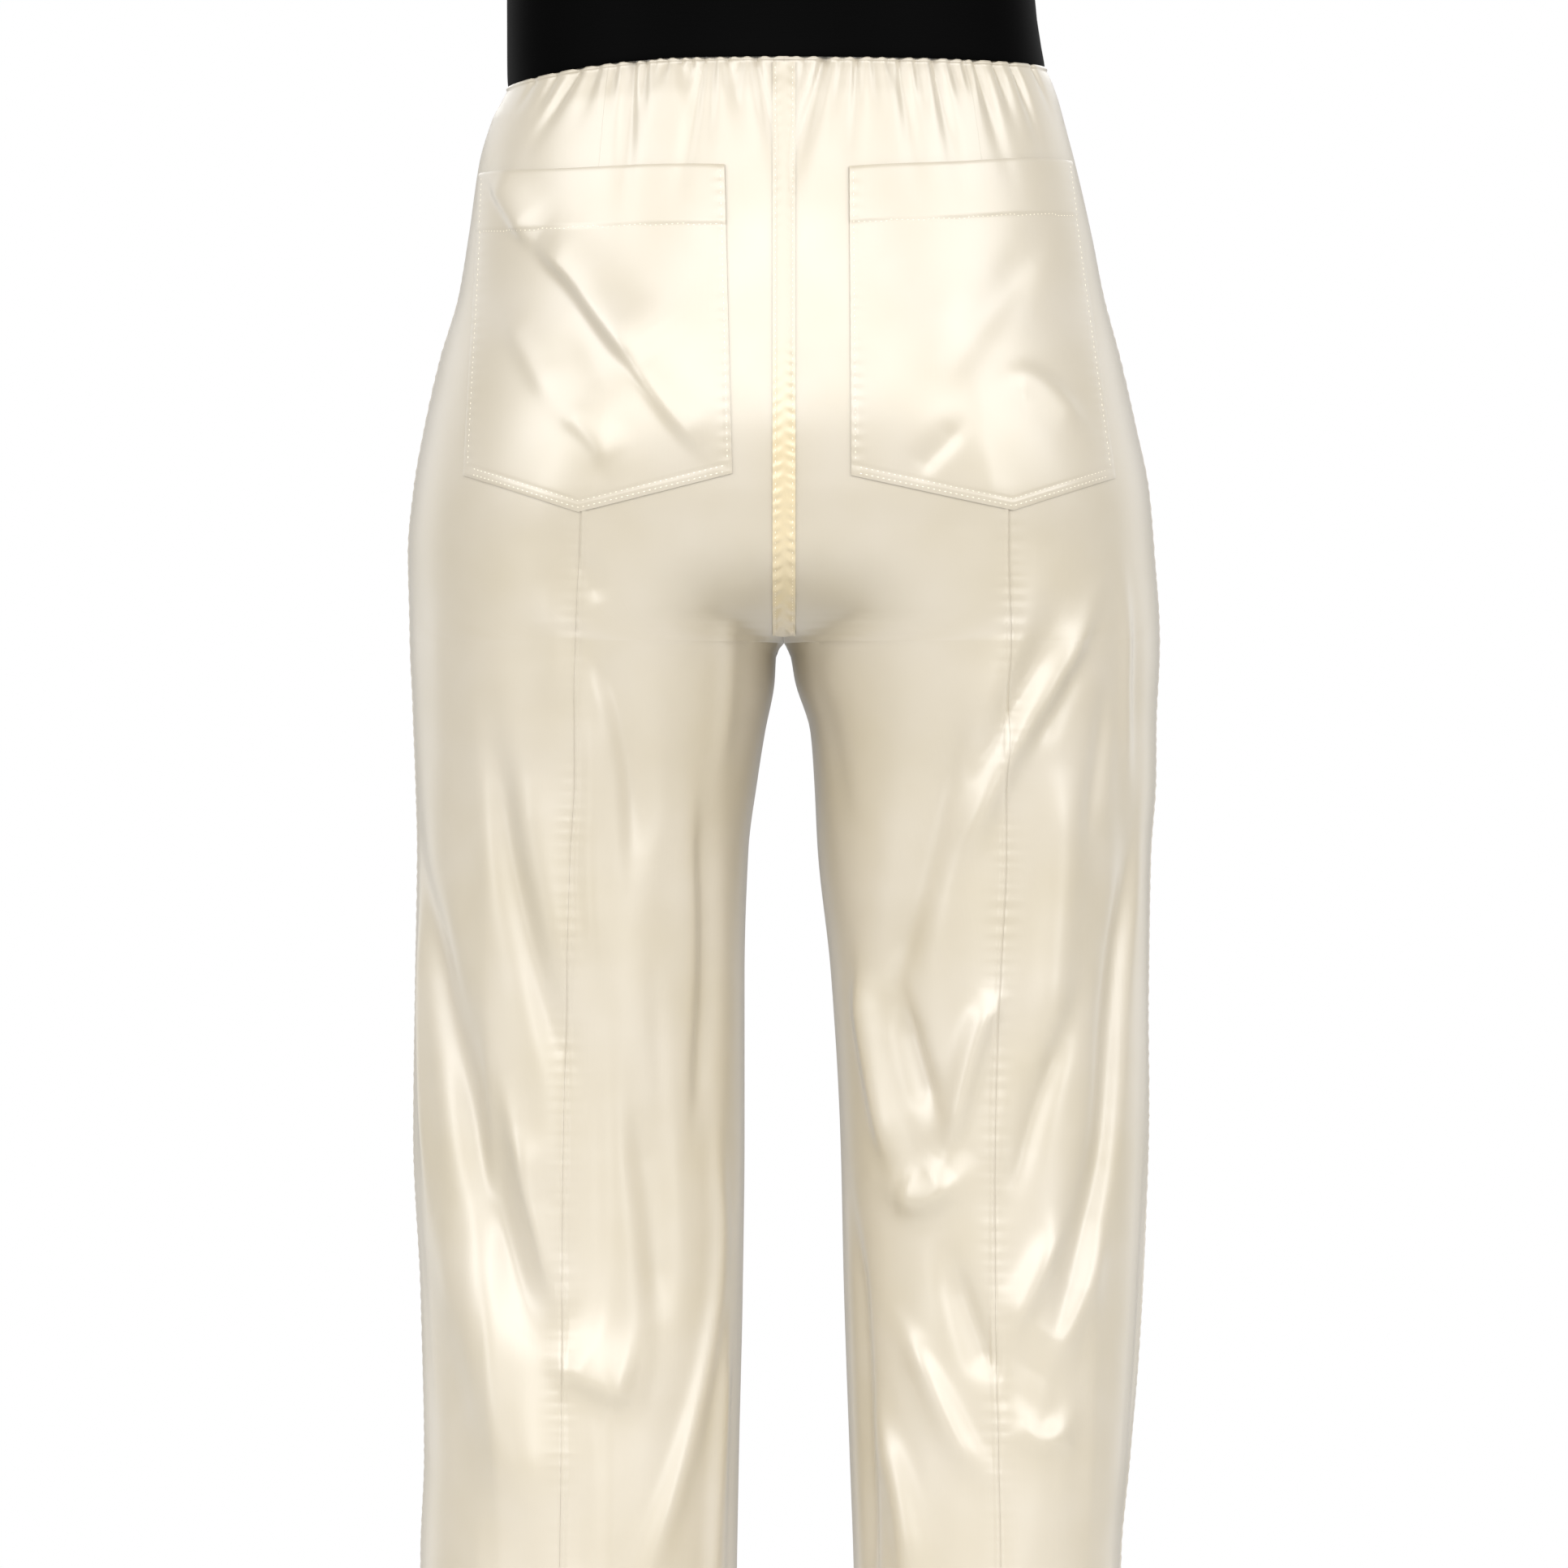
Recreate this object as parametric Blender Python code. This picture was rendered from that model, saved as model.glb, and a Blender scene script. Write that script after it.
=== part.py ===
"""Satin pull-on trousers with an elastic waistband and two back patch pockets, hollow, as worn.

The front faces -Y and the back +Y, and the wearer's left is +X. The origin is the centre of the
waistband, halfway up it. Run with: blender --background --python part.py
"""

import math
from collections import namedtuple

import bmesh
import bpy
import numpy as np

MM = 0.001

# Cloth
WALL = 1.4 * MM
TRIM_WALL = 1.2 * MM
BAND_WALL = 2.4 * MM
SEAM_GAP = 0.3 * MM
TRIM_LIFT = 0.7 * MM
TURNED_HEM = 0.7 * MM

# Heights
BAND_HEIGHT = 50 * MM
WAIST_SEAM_Z = -BAND_HEIGHT / 2
CROTCH_Z = -332 * MM
CROTCH_TURN = 60 * MM
LEG_BEGINS_Z = -110 * MM
LEG_ROUND_Z = -350 * MM
CENTRE_SHARE = 0.2
HEM_Z = -1100 * MM
HEM_DEPTH = 30 * MM

# The valley between the legs is rounded by this much beside the centre seam.
VALLEY = 10 * MM
VALLEY_REACH = 25 * MM

# Gathers under the waistband
GATHERS_A_HALF = 40
GATHER_DEPTH = (0.9 * MM, 1.9 * MM)
GATHER_LENGTH = (16 * MM, 44 * MM)
GATHER_CREST = 0.35
GATHER_FADE = 0.75
GATHER_COLUMNS = 3
GATHER_CLEAR = 9 * MM
GATHER_CLEAR_FROM = 0.4
GATHER_SEED = 7

# The two long gathers beside the centre back: which one of each half, and how deep and long it is
LONG_GATHERS = {"left": 8, "right": 2}
LONG_GATHER_DEPTH = 1.2 * GATHER_DEPTH[1]
LONG_GATHER_LENGTH = 58 * MM

# Columns of points in the three panels of a half, and heights of the rows
BACK_COLUMNS = 8
FRONT_COLUMNS = 12
SEAT_TOP_Z = -100 * MM
HEM_STEP = 1 * MM
GATHER_ROWS = (-38 * MM, -55 * MM, -80 * MM)
SEAT_ROWS = 7
TURN_ROWS = 6
LEG_ROWS = (-337, -349, -368, -392, -422, -455, -490, -525, -560, -594, -628, -662, -696, -730, -765)
SHIN_ROWS = (-800, -838, -880, -925, -972, -1020)

# The garment's sections. Heights and widths in millimetres, widths from the centre plane, depths from
# the line through the origin. The seam columns are the seams down the middle of the back legs.
Section = namedtuple("Section", "z outer_left inner_left inner_right outer_right back front seam_left seam_right")
SECTIONS = (
    Section(25, 147, 0, 0, 132, 96, 93, 90, 94),
    Section(0, 146, 0, 0, 134, 96, 93, 90, 94),
    Section(-25, 147, 0, 0, 139, 98, 95, 92, 96),
    Section(-45, 155, 0, 0, 146, 104, 99, 94, 99),
    Section(-80, 163, 0, 0, 156, 114, 105, 97, 104),
    Section(-115, 168, 0, 0, 164, 123, 109, 100, 109),
    Section(-147, 173, 0, 0, 170, 129, 111, 102, 112),
    Section(-181, 183, 0, 0, 179, 135, 112, 104, 115),
    Section(-216, 191, 0, 0, 187, 138, 112, 105, 117),
    Section(-250, 197, 0, 0, 194, 134.5, 110, 106, 118),
    Section(-284, 200, 0, 0, 197, 125, 108, 107, 118),
    Section(-332, 199, 0, 0, 200, 114, 104, 109, 119),
    Section(-337, 199, 4, 3, 200, 113, 104, 109, 119),
    Section(-353, 198, 5, 6, 199, 111, 103, 110, 118),
    Section(-379, 197, 10, 14, 198, 107, 101, 110, 118),
    Section(-404, 196, 14, 16, 198, 103, 100, 110, 117),
    Section(-443, 195, 19, 18, 196, 99, 98, 112, 117),
    Section(-508, 196, 21, 25, 195, 94, 95, 114, 114),
    Section(-594, 197, 21, 30, 194, 89, 92, 116, 111),
    Section(-679, 193, 22, 32, 190, 86, 89, 117, 111),
    Section(-765, 191, 24, 35, 184, 84, 86, 117, 113),
    Section(-820, 193, 25, 37, 179, 83, 85, 118, 114),
    Section(-950, 192, 27, 40, 178, 82, 82, 118, 112),
    Section(-1100, 190, 30, 42, 177, 81, 80, 117, 112),
)

# The largest folds: a trough has a negative height. Each follows a path of (x, z) points, in
# millimetres, x outwards from the centre plane.
Fold = namedtuple("Fold", "face half_width height path")
FOLDS = (
    Fold("back_left", 15, -6, ((194, -463), (183, -520), (165, -588), (150, -642), (129, -696), (118, -717))),
    Fold("back_left", 18, 5, ((191, -550), (174, -636), (157, -700), (140, -748))),
    Fold("back_left", 12, -4, ((157, -373), (143, -445), (133, -491), (118, -549))),
    Fold("back_left", 11, -3, ((104, -337), (89, -362), (82, -398), (78, -427))),
    Fold("back_left", 12, -3, ((78, -570), (68, -624), (66, -678), (66, -714))),
    Fold("back_left", 12, -4, ((43, -400), (43, -480), (43, -552))),
    Fold("back_left", 11, 3, ((32, -563), (39, -620), (33, -696), (46, -750), (60, -786), (71, -818))),
    Fold("back_left", 12, -2.5, ((154, -86), (138, -108), (125, -136), (99, -157), (79, -186), (39, -236))),
    Fold("back_left", 15, 4, ((150, -830), (128, -900), (122, -980), (126, -1100))),
    Fold("back_left", 15, -4, ((92, -800), (88, -900), (84, -1000), (88, -1100))),
    Fold("back_right", 13, 5, ((155, -330), (141, -355), (123, -380), (108, -402))),
    Fold("back_right", 15, -5, ((94, -355), (83, -408), (69, -463), (58, -499))),
    Fold("back_right", 16, 3, ((139, -408), (142, -470), (141, -520))),
    Fold("back_right", 14, -6, ((176, -326), (176, -426), (178, -499), (171, -588), (159, -642), (126, -717))),
    Fold("back_right", 12, -4, ((155, -520), (133, -563), (119, -606), (112, -635))),
    Fold("back_right", 10, 4, ((114, -520), (105, -531), (97, -556), (83, -597), (75, -615), (62, -593))),
    Fold("back_right", 11, -5, ((58, -520), (69, -563), (79, -592))),
    Fold("back_right", 11, -4, ((83, -649), (94, -678), (110, -714))),
    Fold("back_right", 11, 3, ((148, -642), (130, -671), (115, -707))),
    Fold("back_right", 12, 4, ((69, -689), (90, -721), (112, -764))),
    Fold("back_right", 20, 3, ((117, -199), (156, -224))),
    Fold("back_right", 15, 4, ((62, -786), (74, -860), (80, -960), (76, -1100))),
    Fold("back_right", 15, -4, ((140, -800), (134, -900), (130, -1000), (134, -1100))),
    Fold("front_left", 15, -5, ((184, -430), (160, -500), (138, -560), (120, -620))),
    Fold("front_left", 15, 4, ((178, -560), (156, -640), (132, -720), (112, -800))),
    Fold("front_left", 13, -4, ((46, -380), (58, -450), (64, -540), (58, -640))),
    Fold("front_left", 14, 4, ((120, -860), (112, -960), (118, -1100))),
    Fold("front_right", 15, -5, ((182, -400), (166, -480), (140, -570), (116, -650))),
    Fold("front_right", 14, 4, ((60, -400), (72, -480), (88, -560), (98, -660))),
    Fold("front_right", 13, -4, ((62, -640), (82, -720), (104, -790))),
    Fold("front_right", 14, 4, ((104, -880), (110, -980), (104, -1100))),
)

# How folds fade: the share of the height left at each end, how fast it grows along the path, and how much
# of the way round it takes from a side or inside seam. Paths stay between these angles of the section.
FOLD_END_SHARE = 0.35
FOLD_TAPER = 4
FOLD_SIDE_FADE = 0.25
FOLD_ANGLES = (0.2, 2.9)

# Steps to each side and up and down, from which outward directions are taken
NEAR_T = 0.004
NEAR_Z = 1.5 * MM
SOLVER_ROUNDS = 12
SHARP_ANGLE = math.radians(50)

# Back patch pockets, in millimetres as the folds are: the corners, the point and the turned hem
Pocket = namedtuple("Pocket", "side top_z top_in top_out low_z low_in low_out point_x point_z hem")
POCKETS = (
    Pocket("left", -83, 31, 161, -245, 27, 168, 107, -265, 32),
    Pocket("right", -84, 34, 153, -246, 35, 174, 118, -264, 30),
)

# The felled strip down the centre back
FELL_HALF_WIDTH = 6 * MM
FELL_TOP_Z = -29 * MM
FELL_LOW_Z = -325 * MM

# The waistband's profile: height as a share of the band, and how far out of the wall's inner face
BAND_PROFILE = ((-0.5, 0.3), (-0.47, 1.0), (0.0, 1.25), (0.47, 1.0), (0.5, 0.3), (0.47, 0.0), (-0.47, 0.0))
BAND_SEGMENTS = 64

SIDES = {"left": 1, "right": -1}
Cloth = namedtuple("Cloth", "colour roughness metallic")
SATIN = Cloth((0.89, 0.81, 0.64, 1.0), 0.38, 0.0)
BAND_CLOTH = Cloth((0.006, 0.006, 0.007, 1.0), 0.55, 0.0)


def clear_scene():
    for thing in list(bpy.data.objects):
        bpy.data.objects.remove(thing, do_unlink=True)


def parts_collection(name):
    collection = bpy.data.collections.new(name)
    bpy.context.scene.collection.children.link(collection)
    return collection


def material(name, cloth):
    made = bpy.data.materials.new(name)
    made.use_nodes = True
    shader = made.node_tree.nodes["Principled BSDF"]
    shader.inputs["Base Color"].default_value = cloth.colour
    shader.inputs["Roughness"].default_value = cloth.roughness
    shader.inputs["Metallic"].default_value = cloth.metallic
    return made


def ease(x):
    x = np.clip(x, 0.0, 1.0)
    return x * x * (3 - 2 * x)


def column_of(name, z):
    """One column of SECTIONS at the heights z, in metres, joined by monotone cubics."""
    heights = np.array([row.z for row in SECTIONS][::-1]) * MM
    values = np.array([getattr(row, name) for row in SECTIONS][::-1]) * MM
    step = np.diff(heights)
    rise = np.diff(values) / step
    slope = np.zeros(len(values))
    same_way = rise[:-1] * rise[1:] > 0
    slope[1:-1][same_way] = 2 * rise[:-1][same_way] * rise[1:][same_way] / (rise[:-1] + rise[1:])[same_way]
    slope[0] = rise[0]
    slope[-1] = rise[-1]
    z = np.clip(z, heights[0], heights[-1])
    i = np.clip(np.searchsorted(heights, z) - 1, 0, len(step) - 1)
    u = (z - heights[i]) / step[i]
    lift = values[i] * (1 + 2 * u) * (1 - u) ** 2 + values[i + 1] * (3 - 2 * u) * u ** 2
    return lift + step[i] * (slope[i] * u * (1 - u) ** 2 - slope[i + 1] * (1 - u) * u ** 2)


def leg_share(t, z):
    """How far a section has turned from half an ellipse round the hips (0) to a leg's whole one (1).

    At the centre seams it turns close above the crotch, and further round it turns slowly from the hips.
    """
    at_seam = np.clip((CROTCH_Z + CROTCH_TURN - z) / CROTCH_TURN, 0.0, 1.0)
    around = ease((LEG_BEGINS_Z - z) / (LEG_BEGINS_Z - LEG_ROUND_Z))
    away = ease((0.5 - np.abs(t - 0.5)) / CENTRE_SHARE)
    return at_seam + (around - at_seam) * away


def end_angle(z):
    return math.pi / 2 + np.arcsin(leg_share(0.0, z))


def width_of(side, z):
    inner = column_of("inner_" + side, z)
    return inner, column_of("outer_" + side, z) - inner


def angle_for(side, x, share, z):
    inner, wide = width_of(side, z)
    return np.arccos(np.clip((x - inner) / wide * (1 + share) - share, -1, 1))


def seam_angle(side, z):
    return angle_for(side, column_of("seam_" + side, z), leg_share(0.25, z), z)


def angle_at(side, t, z):
    """t runs from the centre back (0) by the back seam (0.25) and the side (0.5) to the centre front (1)."""
    end = end_angle(z)
    seam = seam_angle(side, z)
    from_centre = 0.5 - np.abs(t - 0.5)
    angle = np.where(from_centre < 0.25, end + (seam - end) * from_centre / 0.25, seam * (0.5 - from_centre) / 0.25)
    return np.where(t <= 0.5, angle, -angle)


def t_at(side, x, z):
    """The t of the point of the back at a distance x from the centre plane."""
    end = end_angle(z)
    seam = seam_angle(side, z)
    t = np.full(np.shape(z), 0.25)
    for _ in range(SOLVER_ROUNDS):
        angle = angle_for(side, x, leg_share(t, z), z)
        t = np.where(angle > seam, 0.25 * (end - angle) / (end - seam), 0.5 - 0.25 * angle / seam)
    return t


def unrolled(side, angle, z):
    """How far round the section an angle is from the middle of the back, in metres."""
    _, wide = width_of(side, z)
    radius = (wide / (1 + leg_share(0.25, z)) + column_of("back", z)) / 2
    return radius * (math.pi / 2 - np.abs(angle))


def fold_lift(side, angle, z):
    """How far the folds move each point out."""
    place = np.stack([unrolled(side, angle, z), z], axis=-1)
    lift = np.zeros(z.shape)
    for fold in FOLDS:
        face, on_side = fold.face.split("_")
        if on_side != side:
            continue
        points = np.array(fold.path, float) * MM
        path_x, path_z = points.T
        turned = np.clip(angle_for(side, path_x, leg_share(0.25, path_z), path_z), *FOLD_ANGLES)
        line = np.stack([unrolled(side, turned, path_z), path_z], axis=-1)
        nearest = np.full(z.shape, np.inf)
        along = np.zeros(z.shape)
        for i in range(len(line) - 1):
            run = line[i + 1] - line[i]
            share = np.clip(((place - line[i]) @ run) / (run @ run), 0, 1)
            away = np.linalg.norm(place - line[i] - share[..., None] * run, axis=-1)
            closer = away < nearest
            nearest = np.where(closer, away, nearest)
            along = np.where(closer, (i + share) / (len(line) - 1), along)
        grown = ease(FOLD_TAPER * along) * ease(FOLD_TAPER * (1 - along))
        taper = FOLD_END_SHARE + (1 - FOLD_END_SHARE) * grown
        on_face = (angle >= 0) if face == "back" else (angle < 0)
        wide = fold.half_width * MM
        lift += np.where(on_face, fold.height * MM * taper * np.exp(-((nearest / wide) ** 2)), 0)
    # The folds die out at the side and inside seams, where back and front have different ones.
    return lift * ease(np.abs(np.sin(angle)) / FOLD_SIDE_FADE)


def gather_tables():
    """Depth and length of each half's gathers, with the two long ones that show beside the centre back."""
    random = np.random.default_rng(GATHER_SEED)
    tables = {}
    for side in SIDES:
        depth = random.uniform(*GATHER_DEPTH, GATHERS_A_HALF + 1)
        length = random.uniform(*GATHER_LENGTH, GATHERS_A_HALF + 1)
        tables[side] = (depth, length)
    for side, number in LONG_GATHERS.items():
        tables[side][0][number] = LONG_GATHER_DEPTH
        tables[side][1][number] = LONG_GATHER_LENGTH
    return tables


GATHERS = gather_tables()


def gather_lift(side, t, z):
    """Narrow troughs with a soft crest between them, dying out down the cloth."""
    depth, length = GATHERS[side]
    place = t * GATHERS_A_HALF
    trough = np.clip(np.round(place).astype(int), 0, GATHERS_A_HALF)
    off = np.abs(place - trough) * GATHER_COLUMNS
    below = np.clip(WAIST_SEAM_Z - z, 0, None)
    fade = np.exp(-((below / (GATHER_FADE * length[trough])) ** 2))
    shape = np.where(off < 1, GATHER_CREST - (1 + GATHER_CREST) * (1 - off) ** 2, GATHER_CREST)
    return depth[trough] * shape * fade


def outer_points(side, t, z):
    """The points of the cloth's outer face, folds and gathers included, for arrays t and z."""
    t, z = np.broadcast_arrays(np.asarray(t, float), np.asarray(z, float))
    share = leg_share(t, z)
    inner, wide = width_of(side, z)
    half_width = wide / (1 + share)
    angle = angle_at(side, t, z)
    depth = np.where(angle >= 0, column_of("back", z), column_of("front", z))
    x = inner + half_width * (share + np.cos(angle))
    y = depth * np.abs(np.sin(angle))
    other_leg = depth * np.sqrt(np.clip(1 - (x / half_width + share) ** 2, 0, None))
    other_leg = np.where(z >= CROTCH_Z, other_leg, 0)
    turn = end_angle(z) - math.pi / 2
    rounding = VALLEY * np.sin(2 * turn) * np.exp(-((x / VALLEY_REACH) ** 2))
    y = (y + other_leg + np.sqrt((y - other_leg) ** 2 + rounding ** 2)) / 2
    y *= np.where(angle >= 0, 1, -1)
    normal = np.stack([np.cos(angle) / half_width, np.sin(angle) / depth], axis=-1)
    normal /= np.linalg.norm(normal, axis=-1, keepdims=True)
    at_centre = np.where(z > CROTCH_Z, ease(x / GATHER_CLEAR), 1)
    gathered = gather_lift(side, t, z) * ease(x / GATHER_CLEAR - GATHER_CLEAR_FROM)
    lift = fold_lift(side, angle, z) * at_centre + gathered
    x = np.maximum(x + lift * normal[..., 0], 0)
    y = y + lift * normal[..., 1]
    return np.stack([SIDES[side] * x, y, z], axis=-1)


def directions(side, low_t, high_t, t, z):
    """Outward directions, from the points a little to each side and above and below."""
    across = outer_points(side, high_t, z) - outer_points(side, low_t, z)
    up = outer_points(side, t, np.minimum(z + NEAR_Z, 0)) - outer_points(side, t, z - NEAR_Z)
    out = np.cross(up, across) * SIDES[side]
    return out / np.maximum(np.linalg.norm(out, axis=-1, keepdims=True), 1e-12)


def normals(side, t, z):
    """Outward directions, shared by the panels on both sides of every seam."""
    t, z = np.broadcast_arrays(np.asarray(t, float), np.asarray(z, float))
    out = directions(side, np.clip(t - NEAR_T, 0, 1), np.clip(t + NEAR_T, 0, 1), t, z)
    # At the inseam the back and the front share the mean of their directions.
    ends = (t <= 0) | (t >= 1)
    leg = ends & (z < CROTCH_Z)
    if leg.any():
        level = z[leg]
        start = np.zeros_like(level)
        stop = np.ones_like(level)
        first = directions(side, start, start + NEAR_T, start, level)
        last = directions(side, stop - NEAR_T, stop, stop, level)
        out[leg] = (first + last) * (1, 0, 1)
    # On the centre plane they turn with the seam, from straight back down to under the crotch.
    turn = end_angle(z) - math.pi / 2
    depth = np.where(t <= 0, column_of("back", z), column_of("front", z))
    seam = np.stack([np.zeros_like(z), np.cos(turn) / depth, -np.sin(turn) / CROTCH_TURN], axis=-1)
    seam[..., 1] *= np.where(t <= 0, 1, -1)
    body = ends & (z >= CROTCH_Z)
    out[body] = seam[body]
    return out / np.linalg.norm(out, axis=-1, keepdims=True)


def link_mesh(name, points, faces, cloth, collection):
    mesh = bpy.data.meshes.new(name)
    mesh.from_pydata([tuple(p) for p in points], [], faces)
    body = bmesh.new()
    body.from_mesh(mesh)
    bmesh.ops.recalc_face_normals(body, faces=body.faces)
    body.to_mesh(mesh)
    body.free()
    mesh.shade_smooth()
    mesh.set_sharp_from_angle(angle=SHARP_ANGLE)
    mesh.materials.append(material(name, cloth))
    made = bpy.data.objects.new(name, mesh)
    collection.objects.link(made)
    return made


def halved(upper_left, upper_right, lower_right, lower_left):
    """A cell as two triangles, all cut the same way, so that what lies on the cloth can follow its faces."""
    return [(upper_left, upper_right, lower_right), (upper_left, lower_right, lower_left)]


def between_rows(upper, lower):
    """Triangles between two rows of (t, index), zipped by t where the rows differ in number."""
    faces = []
    if len(upper) == len(lower):
        for i in range(len(upper) - 1):
            faces += halved(upper[i][1], upper[i + 1][1], lower[i + 1][1], lower[i][1])
        return faces
    i = 0
    j = 0
    while i < len(upper) - 1 or j < len(lower) - 1:
        last_upper = i == len(upper) - 1
        last_lower = j == len(lower) - 1
        if last_lower or (not last_upper and upper[i + 1][0] + upper[i][0] <= lower[j + 1][0] + lower[j][0]):
            faces.append((upper[i][1], upper[i + 1][1], lower[j][1]))
            i += 1
        else:
            faces.append((upper[i][1], lower[j + 1][1], lower[j][1]))
            j += 1
    return faces


def close_wall(name, outside, inside, faces, cloth, collection):
    """A closed wall between two sheets that share their faces, joined by a rim round their edge."""
    count = len(outside)
    seen = {}
    for face in faces:
        for a, b in zip(face, face[1:] + face[:1]):
            seen[(a, b)] = True
    rim = []
    for a, b in [edge for edge in seen if edge[::-1] not in seen]:
        # Neighbouring rims are cut from the outer face's upper corner to the inner face's lower one.
        if outside[a][2] > outside[b][2]:
            rim += halved(a, a + count, b + count, b)
        else:
            rim += halved(b, a, a + count, b + count)
    back = [tuple(i + count for i in reversed(face)) for face in faces]
    return link_mesh(name, [*outside, *inside], [*faces, *back, *rim], cloth, collection)


def row_heights():
    """The heights of the coarse rows, closer together where the seat turns under the crotch."""
    seat = np.linspace(SEAT_TOP_Z, CROTCH_Z + CROTCH_TURN, SEAT_ROWS)
    turned = np.linspace(0, math.pi / 2, TURN_ROWS + 1)[1:]
    under = CROTCH_Z + CROTCH_TURN * (1 - np.sin(turned))
    legs = np.array(LEG_ROWS + SHIN_ROWS) * MM
    hem = np.array([HEM_Z + HEM_DEPTH + HEM_STEP, HEM_Z + HEM_DEPTH, HEM_Z])
    return [*seat, *under, *legs, *hem]


def sheet_of(side, ts, heights, hem=0.0):
    """Outer and inner points of a grid of cloth, rows by columns; hem thickens the turned edge."""
    ts, zs = np.meshgrid(ts, heights)
    points = outer_points(side, ts, zs)
    out = normals(side, ts, zs)
    inner = points - WALL * out
    turned_up = (zs < HEM_Z + HEM_DEPTH + HEM_STEP / 2)[..., None]
    return points + np.where(turned_up, hem, 0) * out, inner, out


def part_from_neighbour(points, inner):
    """Moves a grid's two edge columns in by half of the gap between pieces."""
    for end, near in ((0, 1), (-1, -2)):
        along = points[:, near] - points[:, end]
        shift = SEAM_GAP / 2 * along / np.linalg.norm(along, axis=-1, keepdims=True)
        points[:, end] += shift
        inner[:, end] += shift


def panel(name, side, low_t, high_t, columns, collection):
    """A panel of the cloth between two seams, from the waist to the hem."""
    gather_columns = round((high_t - low_t) * GATHERS_A_HALF) * GATHER_COLUMNS
    outside = []
    inside = []
    indexed = []
    for heights, cells in (([WAIST_SEAM_Z - SEAM_GAP, *GATHER_ROWS], gather_columns), (row_heights(), columns)):
        ts = np.linspace(low_t, high_t, cells + 1)
        points, inner, _ = sheet_of(side, ts, heights, TURNED_HEM)
        part_from_neighbour(points, inner)
        body = np.array(heights) >= CROTCH_Z
        for end in [e for e, t in ((0, low_t), (-1, high_t)) if t in (0.0, 1.0)]:
            points[body, end, 0] = SIDES[side] * SEAM_GAP / 2
            inner[body, end, 0] = SIDES[side] * SEAM_GAP / 2
        for row in range(len(heights)):
            indexed.append([(t, len(outside) + i) for i, t in enumerate(ts)])
            outside.extend(points[row])
            inside.extend(inner[row])
    faces = []
    for upper, lower in zip(indexed, indexed[1:]):
        faces += between_rows(upper, lower)
    return close_wall(name, outside, inside, faces, SATIN, collection)


def back_cells(side):
    """The coarse grid of a half's back, which its trims lie on: t, z, outer points and directions."""
    ts = np.linspace(0, 0.5, 2 * BACK_COLUMNS + 1)
    heights = np.array([GATHER_ROWS[-1], *row_heights()])
    points, _, out = sheet_of(side, ts, heights)
    return ts, heights, points, out


def on_cells(grid, t, z):
    """The point of a grid's flat cells at t and z, and its outward direction."""
    ts, heights, points, out = grid
    column = int(np.clip(np.searchsorted(ts, t, side="right") - 1, 0, len(ts) - 2))
    row = int(np.clip(np.searchsorted(-heights, -z, side="right") - 1, 0, len(heights) - 2))
    u = (t - ts[column]) / (ts[column + 1] - ts[column])
    v = (z - heights[row]) / (heights[row + 1] - heights[row])

    def mixed(values):
        first = values[row, column]
        last = values[row + 1, column + 1]
        if u >= v:
            corner = values[row, column + 1]
            return first + u * (corner - first) + v * (last - corner)
        corner = values[row + 1, column]
        return first + v * (corner - first) + u * (last - corner)

    direction = mixed(out)
    return mixed(points), direction / np.linalg.norm(direction)


def cut_cells(grid, corners, lines):
    """The cells of a grid inside a convex outline of (t, z) corners, cut again along level lines."""
    ts, heights, _, _ = grid
    flat = bmesh.new()
    rows = [[flat.verts.new((t, z, 0)) for t in ts] for z in heights]
    for upper, lower in zip(rows, rows[1:]):
        for i in range(len(ts) - 1):
            for corners_of_half in halved(upper[i], upper[i + 1], lower[i + 1], lower[i]):
                flat.faces.new(corners_of_half)
    for a, b in zip(corners, corners[1:] + corners[:1]):
        geometry = [*flat.verts, *flat.edges, *flat.faces]
        outward = (a[1] - b[1], b[0] - a[0], 0)
        bmesh.ops.bisect_plane(
            flat, geom=geometry, dist=1e-7, plane_co=(a[0], a[1], 0), plane_no=outward, clear_outer=True
        )
    for z in lines:
        geometry = [*flat.verts, *flat.edges, *flat.faces]
        bmesh.ops.bisect_plane(flat, geom=geometry, dist=1e-7, plane_co=(0, z, 0), plane_no=(0, 1, 0))
    flat.verts.index_update()
    places = [(v.co.x, v.co.y) for v in flat.verts]
    faces = [tuple(v.index for v in face.verts) for face in flat.faces]
    flat.free()
    return places, faces


def pocket(spec, collection):
    """A patch pocket, from the panels' points moved out, with a turned top hem and a pointed lower edge."""
    outline = (
        (spec.top_in, spec.top_z),
        (spec.top_out, spec.top_z),
        (spec.low_out, spec.low_z),
        (spec.point_x, spec.point_z),
        (spec.low_in, spec.low_z),
    )
    corners = [(float(t_at(spec.side, np.array(x * MM), np.array(z * MM))), z * MM) for x, z in outline]
    hem_z = (spec.top_z - spec.hem) * MM
    grid = back_cells(spec.side)
    places, faces = cut_cells(grid, corners, (hem_z, hem_z - 2 * HEM_STEP))
    outside = []
    inside = []
    for t, z in places:
        point, out = on_cells(grid, t, z)
        hem = TURNED_HEM if z > hem_z - HEM_STEP else 0
        outside.append(point + (TRIM_LIFT + TRIM_WALL + hem) * out)
        inside.append(point + TRIM_LIFT * out)
    return close_wall("pocket_" + spec.side, outside, inside, faces, SATIN, collection)


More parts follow.
